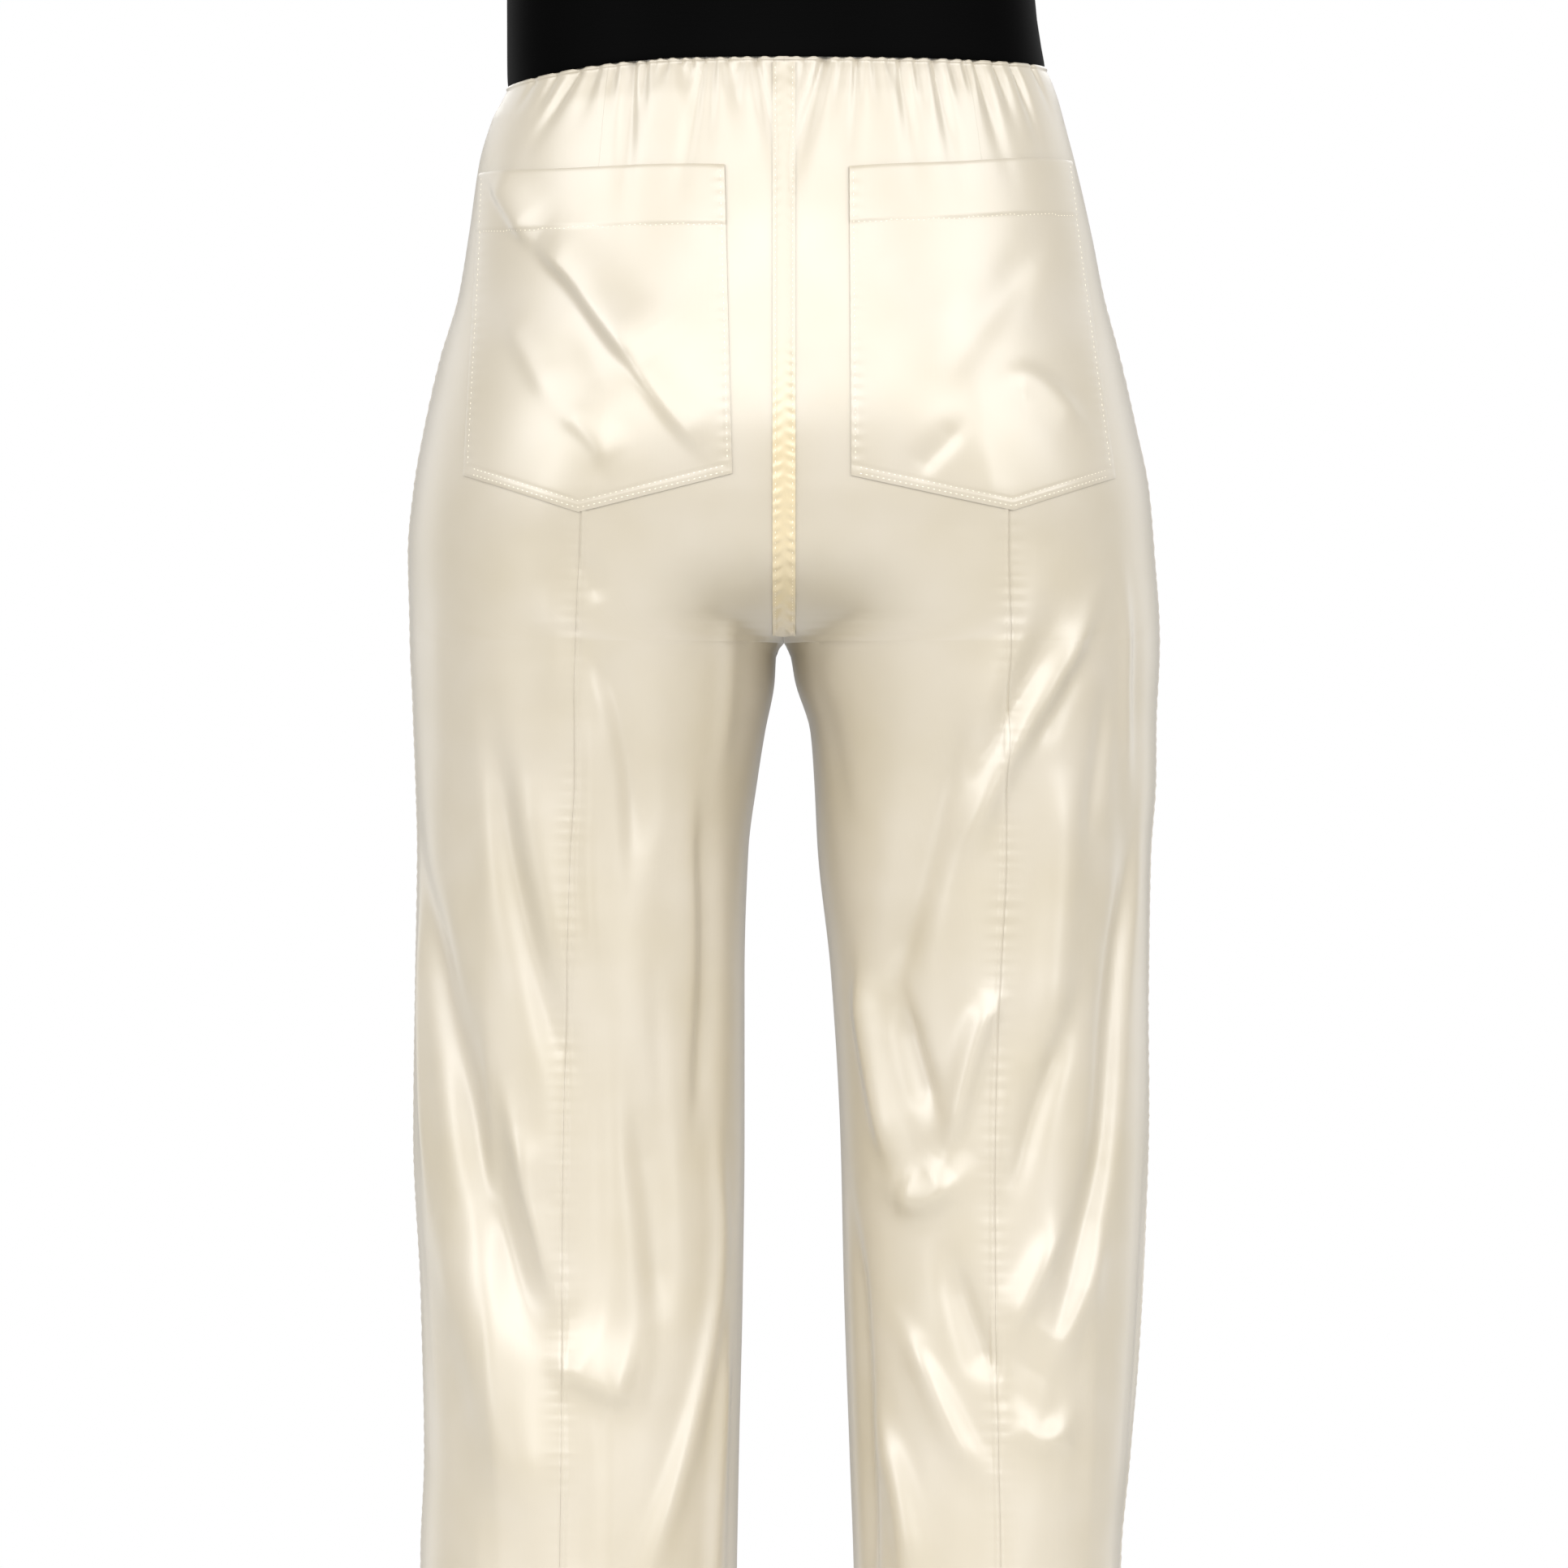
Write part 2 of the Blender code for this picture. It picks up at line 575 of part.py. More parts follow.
def centre_back_fell(collection):
    """The felled strip over the centre back seam, from under the waistband to the crotch."""
    heights = [z for z in (FELL_TOP_Z, *GATHER_ROWS, *row_heights()) if z >= FELL_LOW_Z]
    columns = []
    for side in SIDES:
        points, _, out = sheet_of(side, (0, 0.25 / BACK_COLUMNS), heights)
        share = FELL_HALF_WIDTH / np.abs(points[:, 1, 0])[:, None]
        edge = points[:, 0] * (1 - share) + points[:, 1] * share
        columns.append((edge, out[:, 0] * (1 - share) + out[:, 1] * share))
        if side == "left":
            columns.append((points[:, 0], out[:, 0]))
    points = np.stack([p for p, _ in columns], axis=1).reshape(-1, 3)
    out = np.stack([n / np.linalg.norm(n, axis=-1, keepdims=True) for _, n in columns], axis=1).reshape(-1, 3)
    outside = points + (TRIM_LIFT + TRIM_WALL) * out
    inside = points + TRIM_LIFT * out
    faces = []
    for row in range(len(heights) - 1):
        left, centre, right = range(3 * row, 3 * row + 3)
        faces += halved(centre, right, right + 3, centre + 3)
        faces += [half[::-1] for half in halved(centre, left, left + 3, centre + 3)]
    return close_wall("centre_back_fell", list(outside), list(inside), faces, SATIN, collection)


def waistband(collection):
    """A smooth elastic band, a ring whose wall follows the waist's section."""
    points = []
    for k in range(BAND_SEGMENTS):
        angle = 2 * math.pi * k / BAND_SEGMENTS
        side = "left" if math.cos(angle) >= 0 else "right"
        for share, out in BAND_PROFILE:
            z = np.array(share * BAND_HEIGHT)
            wide = column_of("outer_" + side, z)
            deep = column_of("back" if math.sin(angle) >= 0 else "front", z)
            x = wide * math.cos(angle)
            y = deep * math.sin(angle)
            normal = np.array([math.cos(angle) / wide, math.sin(angle) / deep])
            normal /= np.linalg.norm(normal)
            lift = (out - 1) * BAND_WALL
            points.append((x + lift * normal[0], y + lift * normal[1], float(z)))
    ring = len(BAND_PROFILE)
    faces = [
        (k * ring + i, k * ring + (i + 1) % ring, following * ring + (i + 1) % ring, following * ring + i)
        for k in range(BAND_SEGMENTS)
        for following in [(k + 1) % BAND_SEGMENTS]
        for i in range(ring)
    ]
    return link_mesh("waistband", points, faces, BAND_CLOTH, collection)


def main():
    clear_scene()
    collection = parts_collection("satin_trousers")
    waistband(collection)
    for side in SIDES:
        panel("back_inner_" + side, side, 0.0, 0.25, BACK_COLUMNS, collection)
        panel("back_outer_" + side, side, 0.25, 0.5, BACK_COLUMNS, collection)
        panel("front_" + side, side, 0.5, 1.0, FRONT_COLUMNS, collection)
    for spec in POCKETS:
        pocket(spec, collection)
    centre_back_fell(collection)


main()
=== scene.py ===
"""Satin pull-on trousers with a black elastic waistband, worn and hollow, seen from behind.

The front faces -Y, the back +Y and the wearer's left is +X. The origin is the centre of the waistband.
Every length is in metres, and the tables are in millimetres.
"""

import math
from collections import namedtuple

import bpy
import numpy as np
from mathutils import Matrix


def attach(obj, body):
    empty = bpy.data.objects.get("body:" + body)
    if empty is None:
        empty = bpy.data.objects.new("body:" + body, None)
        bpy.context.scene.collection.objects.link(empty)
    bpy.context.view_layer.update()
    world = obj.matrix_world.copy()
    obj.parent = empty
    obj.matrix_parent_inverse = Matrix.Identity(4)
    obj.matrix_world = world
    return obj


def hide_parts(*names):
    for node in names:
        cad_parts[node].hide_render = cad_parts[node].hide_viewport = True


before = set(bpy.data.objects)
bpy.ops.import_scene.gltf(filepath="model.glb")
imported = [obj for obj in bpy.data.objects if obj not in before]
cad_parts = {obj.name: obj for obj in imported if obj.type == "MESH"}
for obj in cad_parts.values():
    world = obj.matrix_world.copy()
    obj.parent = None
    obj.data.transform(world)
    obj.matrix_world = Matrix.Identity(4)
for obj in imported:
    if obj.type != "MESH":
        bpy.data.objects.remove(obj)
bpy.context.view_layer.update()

bl_info = {
    "name": "Satin trousers",
    "version": (1, 0, 0),
    "blender": (4, 5, 0),
    "location": "View3D > Sidebar > Trousers",
    "description": "Makes a pair of gathered satin trousers with patch pockets",
    "category": "Add Mesh",
}

MM = 0.001
SIDES = {"left": 1, "right": -1}

# Heights of the construction, as the solids have them
WAIST_SEAM_Z = -25 * MM
CROTCH_Z = -332 * MM
CROTCH_TURN = 60 * MM
SEAT_TURN = 84 * MM
SEAT_TURN_SHARE = 0.08
SOFT_REACH = 22 * MM
SOFT_SHARE = 0.06
SOFT_STEPS = np.linspace(-15, 15, 9) * MM
LEG_BEGINS_Z = -110 * MM
LEG_ROUND_Z = -350 * MM
CENTRE_SHARE = 0.2
SPREAD_TOP_Z = -220 * MM
SPREAD_LOW_Z = -470 * MM
HEM_Z = -1100 * MM
# The waist seam sags towards the left side, and the cloth under it as far as the pocket's top
WAIST_DIP = 10.5 * MM
WAIST_DIP_FROM_X = 40 * MM
WAIST_DIP_TO_X = 147 * MM
WAIST_DIP_LOW_Z = -80 * MM
WAIST_DIP_TOP_Z = -32 * MM
SEAM_GAP = 0.3 * MM
SEAM_TOUCH = 0.03 * MM
VALLEY = 10 * MM
VALLEY_REACH = 25 * MM
# Places round a half, as t: the centre back is 0 and the centre front is 1
BACK_SEAM_T = 0.25
SIDE_T = 0.5
TINY_T = 1e-6

# The garment's sections. Heights and widths in millimetres, widths from the centre plane, depths from
# the line through the origin. The seam columns are the seams down the middle of the back legs.
Section = namedtuple(
    "Section", "z outer_left inner_left inner_right outer_right back front seam_left seam_right"
)
SECTIONS = (
    Section(25, 147, 0, 0, 132, 96, 93, 90, 94),
    Section(0, 146, 0, 0, 134, 96, 93, 90, 94),
    Section(-25, 147, 0, 0, 139, 98, 95, 92, 96),
    Section(-45, 155, 0, 0, 146, 104, 99, 94, 99),
    Section(-80, 163, 0, 0, 156, 114, 105, 97, 104),
    Section(-115, 168, 0, 0, 164, 123, 109, 100, 109),
    Section(-147, 173, 0, 0, 170, 129, 111, 102, 112),
    Section(-181, 183, 0, 0, 179, 135, 112, 104, 115),
    Section(-216, 191, 0, 0, 187, 138, 112, 105, 117),
    Section(-250, 197, 0, 0, 194, 134.5, 110, 106, 118),
    Section(-284, 200, 0, 0, 197, 125, 108, 107, 118),
    Section(-332, 199, 0, 0, 200, 114, 104, 109, 119),
    Section(-337, 199, 4, 3, 200, 113, 104, 109, 119),
    Section(-353, 198, 5, 6, 199, 111, 103, 110, 118),
    Section(-379, 197, 10, 14, 198, 107, 101, 110, 118),
    Section(-404, 196, 14, 16, 198, 103, 100, 110, 117),
    Section(-443, 195, 19, 18, 196, 99, 98, 112, 117),
    Section(-508, 196, 21, 25, 195, 94, 95, 114, 114),
    Section(-594, 197, 21, 30, 194, 89, 92, 116, 111),
    Section(-679, 193, 22, 32, 190, 86, 89, 117, 111),
    Section(-765, 191, 24, 35, 184, 84, 86, 117, 113),
    Section(-820, 193, 25, 37, 179, 83, 85, 118, 114),
    Section(-950, 192, 27, 40, 178, 82, 82, 118, 112),
    Section(-1100, 190, 30, 42, 177, 81, 80, 117, 112),
)

# Folds. A trough has a negative height. Near is the half width on the side that is further out and lower
# where the path runs down and inwards, and further out and higher where it runs down and outwards; far is
# the other side's. Paths are (x, z) points, in millimetres, x outwards from the centre plane.
Fold = namedtuple("Fold", "near far height path")
FOLDS = {
    "back_left": (
        # The left pocket's crease, a steep step down on its outer side, and the soft ones below it
        Fold(5, 14, 3.6, ((156, -82), (147, -96), (138, -112), (130, -124))),
        Fold(6, 22, 5.0, ((137, -113), (122, -127), (108, -141), (97, -158), (79, -182), (70, -198))),
        Fold(4, 12, 2.4, ((86, -172), (74, -192), (62, -210), (48, -226), (36, -240))),
        Fold(8, 14, 1.8, ((150, -150), (138, -172), (126, -194), (114, -212))),
        Fold(6, 10, 1.8, ((122, -208), (106, -218), (94, -232), (86, -250))),
        Fold(10, 14, -1.4, ((112, -160), (98, -184), (86, -214))),
        # The left leg
        Fold(12, 16, -7.5, ((194, -420), (190, -463), (180, -520), (165, -588), (150, -642),
            (130, -696), (116, -725))),
        Fold(20, 24, 7.4, ((188, -590), (172, -664), (152, -724), (134, -776), (124, -820))),
        Fold(9, 12, -4.2, ((157, -353), (150, -400), (143, -445), (133, -491), (118, -549), (110, -590))),
        Fold(9, 14, 3.4, ((148, -370), (136, -430), (124, -480), (112, -540))),
        Fold(5, 8, -2.0, ((106, -284), (101, -300), (97, -314))),
        Fold(7, 11, -4.4, ((107, -330), (95, -343), (87, -361), (83, -380), (79, -405), (78, -440),
            (80, -480))),
        Fold(5, 7, 2.2, ((103, -350), (101, -390), (103, -440), (101, -485), (97, -520))),
        Fold(10, 10, 1.8, ((122, -300), (120, -335), (118, -370))),
        Fold(9, 12, -4.2, ((82, -540), (72, -610), (66, -660), (64, -730))),
        Fold(9, 22, 5.8, ((126, -704), (108, -717), (90, -726), (70, -730))),
        Fold(5, 9, 3.6, ((150, -560), (138, -610), (126, -654), (116, -690))),
        Fold(8, 11, -4.6, ((46, -380), (41, -440), (39, -500), (42, -560), (48, -610))),
        Fold(7, 10, 2.2, ((27, -270), (28, -320), (30, -355), (33, -385), (36, -420))),
        Fold(6, 10, 3.6, ((31, -560), (36, -600), (34, -660), (43, -720), (59, -780), (72, -820),
            (80, -860))),
        Fold(6, 8, 3.0, ((29, -670), (35, -740), (38, -818), (38, -880))),
        Fold(6, 9, -2.7, ((134, -600), (124, -640), (116, -680))),
        Fold(6, 8, 1.6, ((193, -470), (191, -560), (184, -650))),
        Fold(14, 16, 4.8, ((150, -830), (128, -900), (122, -980), (126, -1100))),
        Fold(14, 14, -5.1, ((92, -800), (88, -900), (84, -1000), (88, -1100))),
    ),
    "back_right": (
        # The right pocket
        Fold(10, 14, -1.8, ((140, -110), (118, -146), (92, -182), (62, -230))),
        Fold(7, 10, 2.0, ((109, -204), (122, -192), (136, -198), (150, -212), (164, -228))),
        Fold(5, 8, -1.6, ((96, -214), (87, -227), (74, -239), (67, -250))),
        # The right leg
        Fold(6, 8.5, 4.8, ((168, -298), (157, -325), (143, -355), (124, -382), (111, -408),
            (98, -436), (90, -456))),
        Fold(6, 8, -2.4, ((147, -302), (131, -347), (109, -384), (98, -410))),
        Fold(8, 12, 2.2, ((132, -296), (119, -342), (103, -374), (92, -412))),
        Fold(7, 9, -2.4, ((157, -336), (150, -353), (137, -375), (124, -395))),
        Fold(6, 8, -2.2, ((171, -346), (166, -395), (157, -444))),
        Fold(12, 15, -5.6, ((100, -330), (86, -390), (72, -452), (58, -499), (50, -540))),
        Fold(13, 15, 4.2, ((155, -368), (148, -420), (145, -470), (139, -525), (130, -570))),
        Fold(6, 7, 2.2, ((179, -290), (181, -350), (183, -410))),
        Fold(7, 12, -6.5, ((187, -400), (184, -450), (177, -510), (172, -588), (160, -642),
            (142, -696), (124, -725))),
        Fold(8, 11, -5.0, ((158, -505), (142, -548), (133, -570), (121, -606), (112, -645))),
        Fold(7, 12, 4.2, ((150, -505), (132, -560), (120, -600), (112, -630))),
        Fold(4.5, 9, 5.4, ((118, -514), (109, -524), (102, -542), (96, -566), (90, -592), (84, -608))),
        Fold(9, 15, 6.0, ((98, -600), (84, -622), (68, -628), (50, -616))),
        Fold(8, 11, 5.0, ((62, -622), (54, -596), (46, -556), (40, -520), (40, -490))),
        Fold(6, 9, -5.4, ((58, -508), (66, -540), (74, -566), (82, -588))),
        Fold(6, 9, -4.5, ((83, -644), (94, -676), (106, -708), (112, -724))),
        Fold(6, 9, 3.8, ((56, -682), (72, -708), (84, -736), (97, -762), (114, -776))),
        Fold(6, 9, 3.8, ((150, -632), (138, -656), (126, -680), (114, -708))),
        Fold(7, 10, 3.8, ((117, -730), (128, -750), (142, -754), (156, -732))),
        Fold(12, 24, 5.0, ((168, -640), (148, -690), (132, -716))),
        Fold(7, 9, -3.6, ((34, -610), (40, -660), (43, -720), (46, -815), (46, -880))),
        Fold(8, 12, 4.4, ((46, -728), (58, -764), (66, -800), (72, -850))),
        Fold(15, 15, 5.1, ((62, -800), (74, -880), (80, -960), (76, -1100))),
        Fold(15, 15, -5.1, ((140, -800), (134, -900), (130, -1000), (134, -1100))),
    ),
    # The front, which the photograph leaves open: similar ones
    "front_left": (
        Fold(14, 18, -6.0, ((184, -430), (160, -500), (138, -560), (120, -620))),
        Fold(14, 18, 5.1, ((178, -560), (156, -640), (132, -720), (112, -800))),
        Fold(12, 14, -5.1, ((46, -380), (58, -450), (64, -540), (58, -640))),
        Fold(8, 14, 3.9, ((26, -330), (48, -350), (78, -362), (110, -360))),
        Fold(14, 14, 5.1, ((120, -860), (112, -960), (118, -1100))),
    ),
    "front_right": (
        Fold(14, 18, -6.0, ((182, -400), (166, -480), (140, -570), (116, -650))),
        Fold(12, 16, 5.1, ((60, -400), (72, -480), (88, -560), (98, -660))),
        Fold(12, 14, -4.8, ((62, -640), (82, -720), (104, -790))),
        Fold(8, 14, 3.9, ((28, -332), (52, -356), (84, -368), (116, -362))),
        Fold(14, 14, 5.1, ((104, -880), (110, -980), (104, -1100))),
    ),
}

# How far the easing has gone at a fold's two ends, and how fast it goes on along the fold
FOLD_END = 0.12
FOLD_TAPER = 3.2
# The folds fade near a half's two ends and where the cloth faces sideways, and the gathers near the ends
FOLD_EDGE = 14 * MM
FOLD_SIDE_SHARE = 0.25
GATHER_EDGE = 7 * MM

# Soft drape between the folds: how many long ripples each half has, and the ranges of where each starts
# round the half and down it, how long, wide and high it is, and how far it leans
DRAPE_RIPPLES = 90
DRAPE_T = (0.03, 0.97)
DRAPE_TOP_Z = (HEM_Z + 100 * MM, -250 * MM)
DRAPE_LENGTH = (140 * MM, 460 * MM)
DRAPE_HALF_WIDTH = (4 * MM, 13 * MM)
DRAPE_HEIGHT = (0.25 * MM, 1.2 * MM)
DRAPE_LEAN = (-16 * MM, 16 * MM)
DRAPE_TAPER = 0.35
DRAPE_SEED = 21

# Back patch pockets, in millimetres as the folds are: the corners, the point and the turned hem
Pocket = namedtuple("Pocket", "side top_z top_in top_out low_z low_in low_out point_x point_z hem")
POCKETS = (
    Pocket("left", -83, 31, 161, -245, 27, 168, 107, -265, 32),
    Pocket("right", -84, 34, 153, -246, 35, 174, 118, -264, 30),
)

# Gathers under the waistband, with the back's as in the photograph: where each starts, from the centre
# back, how deep and wide it is, how far it runs down and how far it leans outwards, in millimetres
Gather = namedtuple("Gather", "x depth half_width length lean")
BACK_GATHERS = {
    "left": (
        (6, 2.2, 2.2, 18, 0), (15, 3.0, 2.6, 52, -9), (23, 1.9, 2.2, 20, 2), (30, 2.7, 2.6, 30, -5),
        (37, 2.4, 2.4, 40, 2), (42, 3.0, 2.6, 54, 7), (49, 2.4, 2.2, 24, 0), (55, 2.6, 2.2, 18, -3),
        (62, 1.9, 2.0, 12, 2), (68, 1.6, 2.0, 16, 0), (73, 3.0, 2.6, 30, 0), (80, 3.8, 3.4, 62, -2),
        (89, 1.9, 2.4, 20, 0), (98, 1.6, 2.4, 26, 4), (108, 2.2, 2.8, 34, 14), (120, 1.2, 2.6, 20, 5),
        (132, 1.1, 2.8, 16, 4),
    ),
    "right": (
        (3, 1.9, 2.0, 16, 0), (11, 2.4, 2.4, 26, -2), (22, 4.1, 3.4, 66, -17), (31, 2.4, 2.4, 30, -4),
        (39, 3.0, 2.6, 48, -4), (48, 2.0, 2.2, 22, 0), (55, 1.9, 2.0, 16, 2), (61, 3.0, 2.8, 50, 2),
        (70, 2.2, 2.2, 28, 0), (79, 3.1, 2.8, 52, 4), (88, 2.0, 2.2, 22, 2), (95, 1.8, 2.0, 18, 0),
        (101, 2.7, 2.6, 44, 5), (111, 2.2, 2.4, 28, 3), (120, 2.3, 2.4, 34, 5), (131, 1.6, 2.6, 22, 4),
    ),
}
# The front's: how many, how far each strays from its even place, as a share of the space between two,
# and the ranges of the other columns
FRONT_GATHERS = 19
FRONT_GATHER_STRAY = 0.3
FRONT_GATHER_DEPTH = (0.9, 2.4)
FRONT_GATHER_LENGTH = (14, 50)
FRONT_GATHER_HALF_WIDTH = (2.0, 3.0)
FRONT_GATHER_LEAN = (-5, 5)
GATHER_SEED = 7
GATHER_REACH_Z = -150 * MM
# What every gather's depth and half width are multiplied by, and how it fans out, stops leaning and
# fades, as shares of its length
GATHER_DEEPER = 1.25
GATHER_NARROWER = 0.9
GATHER_FANS = 0.9
GATHER_LEANS_UNTIL = 1.5
GATHER_FADES = 0.85
WAIST_SAMPLES = 200
# The way round a half, which turns widths into t
HALF_ROUND = 392 * MM
WAIST_PUFF = 1.3 * MM
PUFF_BEGINS = 5 * MM
PUFF_ENDS = 34 * MM
BEAD_Z = -26.4 * MM
BEAD_RISE = 0.9 * MM
BEAD_HALF_WIDTH = 0.8 * MM
# Beyond this many times its width a bump is next to nothing
BELL_ENDS = 3


def linear(hex_colour):
    """An sRGB hex colour as the linear one that shaders take."""
    parts = [int(hex_colour[i:i + 2], 16) / 255 for i in (1, 3, 5)]
    return [c / 12.92 if c <= 0.04045 else ((c + 0.055) / 1.055) ** 2.4 for c in parts] + [1.0]


def ease(x):
    x = np.clip(x, 0.0, 1.0)
    return np.minimum(x * x * (3 - 2 * x), 1.0)


def bell(off, wide):
    """A rounded bump, 1 in its middle, at distances off it."""
    return np.exp(-((off / wide) ** 2))


def unit(vectors):
    """The same directions, one long."""
    return vectors / np.maximum(np.linalg.norm(vectors, axis=-1, keepdims=True), 1e-12)


def from_centre(t):
    """How far t is from the nearer of the centre back and the centre front."""
    return SIDE_T - np.abs(t - SIDE_T)


def column_of(name, z):
    """One column of SECTIONS at the heights z, in metres, joined by monotone cubics."""
    heights = np.array([row.z for row in SECTIONS][::-1]) * MM
    values = np.array([getattr(row, name) for row in SECTIONS][::-1]) * MM
    step = np.diff(heights)
    rise = np.diff(values) / step
    slope = np.zeros(len(values))
    same_way = rise[:-1] * rise[1:] > 0
    slope[1:-1][same_way] = 2 * rise[:-1][same_way] * rise[1:][same_way] / (rise[:-1] + rise[1:])[same_way]
    slope[0] = rise[0]
    slope[-1] = rise[-1]
    z = np.clip(z, heights[0], heights[-1])
    i = np.clip(np.searchsorted(heights, z) - 1, 0, len(step) - 1)
    u = (z - heights[i]) / step[i]
    lift = values[i] * (1 + 2 * u) * (1 - u) ** 2 + values[i + 1] * (3 - 2 * u) * u ** 2
    return lift + step[i] * (slope[i] * u * (1 - u) ** 2 - slope[i + 1] * (1 - u) * u ** 2)


def leg_share(t, z):
    """How far a section has turned from half an ellipse round the hips (0) to a leg's whole one (1)."""
    at_seam = np.clip((CROTCH_Z + CROTCH_TURN - z) / CROTCH_TURN, 0.0, 1.0)
    beside = ease((CROTCH_Z + SEAT_TURN - z) / SEAT_TURN)
    at_seam = at_seam + (beside - at_seam) * ease(from_centre(t) / SEAT_TURN_SHARE)
    around = ease((LEG_BEGINS_Z - z) / (LEG_BEGINS_Z - LEG_ROUND_Z))
    return at_seam + (around - at_seam) * ease(from_centre(t) / CENTRE_SHARE)


def end_angle(z):
    return math.pi / 2 + np.arcsin(leg_share(0.0, z))


def width_of(side, t, z):
    """Where a section begins and how wide it is. Away from the centre the beginning moves out gradually."""
    inner = column_of("inner_" + side, z)
    round_leg = column_of("inner_" + side, np.minimum(z, SPREAD_LOW_Z))
    spread = round_leg * ease((SPREAD_TOP_Z - z) / (SPREAD_TOP_Z - SPREAD_LOW_Z))
    inner = inner + (spread - inner) * ease(from_centre(t) / CENTRE_SHARE)
    return inner, column_of("outer_" + side, z) - inner


def seam_angle(side, z):
    """The angle of the seam down the middle of the back leg."""
    inner, wide = width_of(side, BACK_SEAM_T, z)
    share = leg_share(BACK_SEAM_T, z)
    return np.arccos(np.clip((column_of("seam_" + side, z) - inner) / wide * (1 + share) - share, -1, 1))


def angle_at(side, t, z):
    """The angle of a place: t runs from the centre back by the back seam and the side to the front."""
    end = end_angle(z)
    seam = seam_angle(side, z)
    near = from_centre(t)
    before = end + (seam - end) * near / BACK_SEAM_T
    after = seam * (SIDE_T - near) / (SIDE_T - BACK_SEAM_T)
    angle = np.where(near < BACK_SEAM_T, before, after)
    return np.where(t <= SIDE_T, angle, -angle)


def smoothed(line):
    """A polyline with its corners cut twice, and its ends kept."""
    for _ in range(2):
        early = 0.75 * line[:-1] + 0.25 * line[1:]
        late = 0.25 * line[:-1] + 0.75 * line[1:]
        line = np.concatenate([line[:1], np.stack([early, late], axis=1).reshape(-1, 2)[1:-1], line[-1:]])
    return line


def one_fold(fold, line, place):
    """How far one fold moves out each place, given as distances round and heights."""
    nearest = np.full(place.shape[:2], np.inf)
    along = np.zeros(place.shape[:2])
    outward = np.zeros(place.shape[:2], bool)
    for i in range(len(line) - 1):
        run = line[i + 1] - line[i]
        off = place - line[i]
        share = np.clip((off @ run) / (run @ run), 0, 1)
        away = np.linalg.norm(off - share[..., None] * run, axis=-1)
        closer = away < nearest
        nearest = np.where(closer, away, nearest)
        along = np.where(closer, (i + share) / (len(line) - 1), along)
        outward = np.where(closer, run[0] * off[..., 1] - run[1] * off[..., 0] > 0, outward)
    taper = ease(FOLD_END + FOLD_TAPER * along) * ease(FOLD_END + FOLD_TAPER * (1 - along))
    wide = np.where(outward, fold.near, fold.far) * MM
    return fold.height * MM * taper * bell(nearest, wide)


def gather_table(side):
    """Every gather of one half as rows of t at the waist, depth, half width, length and lean, in metres."""
    t = np.linspace(0, SIDE_T, WAIST_SAMPLES)
    waist_x = plain_surface(side, t, WAIST_SEAM_Z + 0 * t)[0]
    rows = []
    for gather in map(Gather._make, BACK_GATHERS[side]):
        rows.append((float(np.interp(gather.x * MM, waist_x, t)), *(value * MM for value in gather[1:])))
    random = np.random.default_rng(GATHER_SEED + SIDES[side])
    for i in range(FRONT_GATHERS):
        stray = random.uniform(-FRONT_GATHER_STRAY, FRONT_GATHER_STRAY)
        start = SIDE_T + (i + 0.5 + stray) / (2 * FRONT_GATHERS)
        depth = random.uniform(*FRONT_GATHER_DEPTH) * MM
        length = random.uniform(*FRONT_GATHER_LENGTH) * MM
        half_width = random.uniform(*FRONT_GATHER_HALF_WIDTH) * MM
        rows.append((start, depth, half_width, length, random.uniform(*FRONT_GATHER_LEAN) * MM))
    return rows


def gather_lift(side, t, z):
    """Narrow troughs that fan out and die away down the cloth, with the cloth puffed between them."""
    below = np.clip(WAIST_SEAM_Z - z, 0, None)
    lift = WAIST_PUFF * (1 - bell(below, PUFF_BEGINS)) * bell(below, PUFF_ENDS)
    for start, depth, half_width, length, lean in gather_table(side):
        along = below / length
        leant = lean * np.minimum(along, GATHER_LEANS_UNTIL) / HALF_ROUND
        centre = start + leant * (1 if start < SIDE_T else -1)
        wide = GATHER_NARROWER * half_width * (1 + GATHER_FANS * along) / HALF_ROUND
        lift -= GATHER_DEEPER * depth * bell(along, GATHER_FADES) * bell(t - centre, wide)
    return lift * (z > GATHER_REACH_Z)


def drape_lift(side, t, z):
    """Long, low ripples down the legs, uneven in length, width and height."""
    random = np.random.default_rng(DRAPE_SEED + SIDES[side])
    lift = np.zeros(z.shape)
    for _ in range(DRAPE_RIPPLES):
        centre = random.uniform(*DRAPE_T)
        top = random.uniform(*DRAPE_TOP_Z)
        length = random.uniform(*DRAPE_LENGTH)
        wide = random.uniform(*DRAPE_HALF_WIDTH) / HALF_ROUND
        height = random.uniform(*DRAPE_HEIGHT) * random.choice((-1, 1))
        lean = random.uniform(*DRAPE_LEAN) / HALF_ROUND
        along = (top - z) / length
        taper = ease(along / DRAPE_TAPER) * ease((1 - along) / DRAPE_TAPER)
        lift += height * taper * bell(t - centre - lean * along, wide)
    return lift


def waist_dip(x):
    """How far the waist seam hangs below its height at the centre, at distances x to the left."""
    return WAIST_DIP * np.clip((x - WAIST_DIP_FROM_X) / (WAIST_DIP_TO_X - WAIST_DIP_FROM_X), 0, 1) ** 2


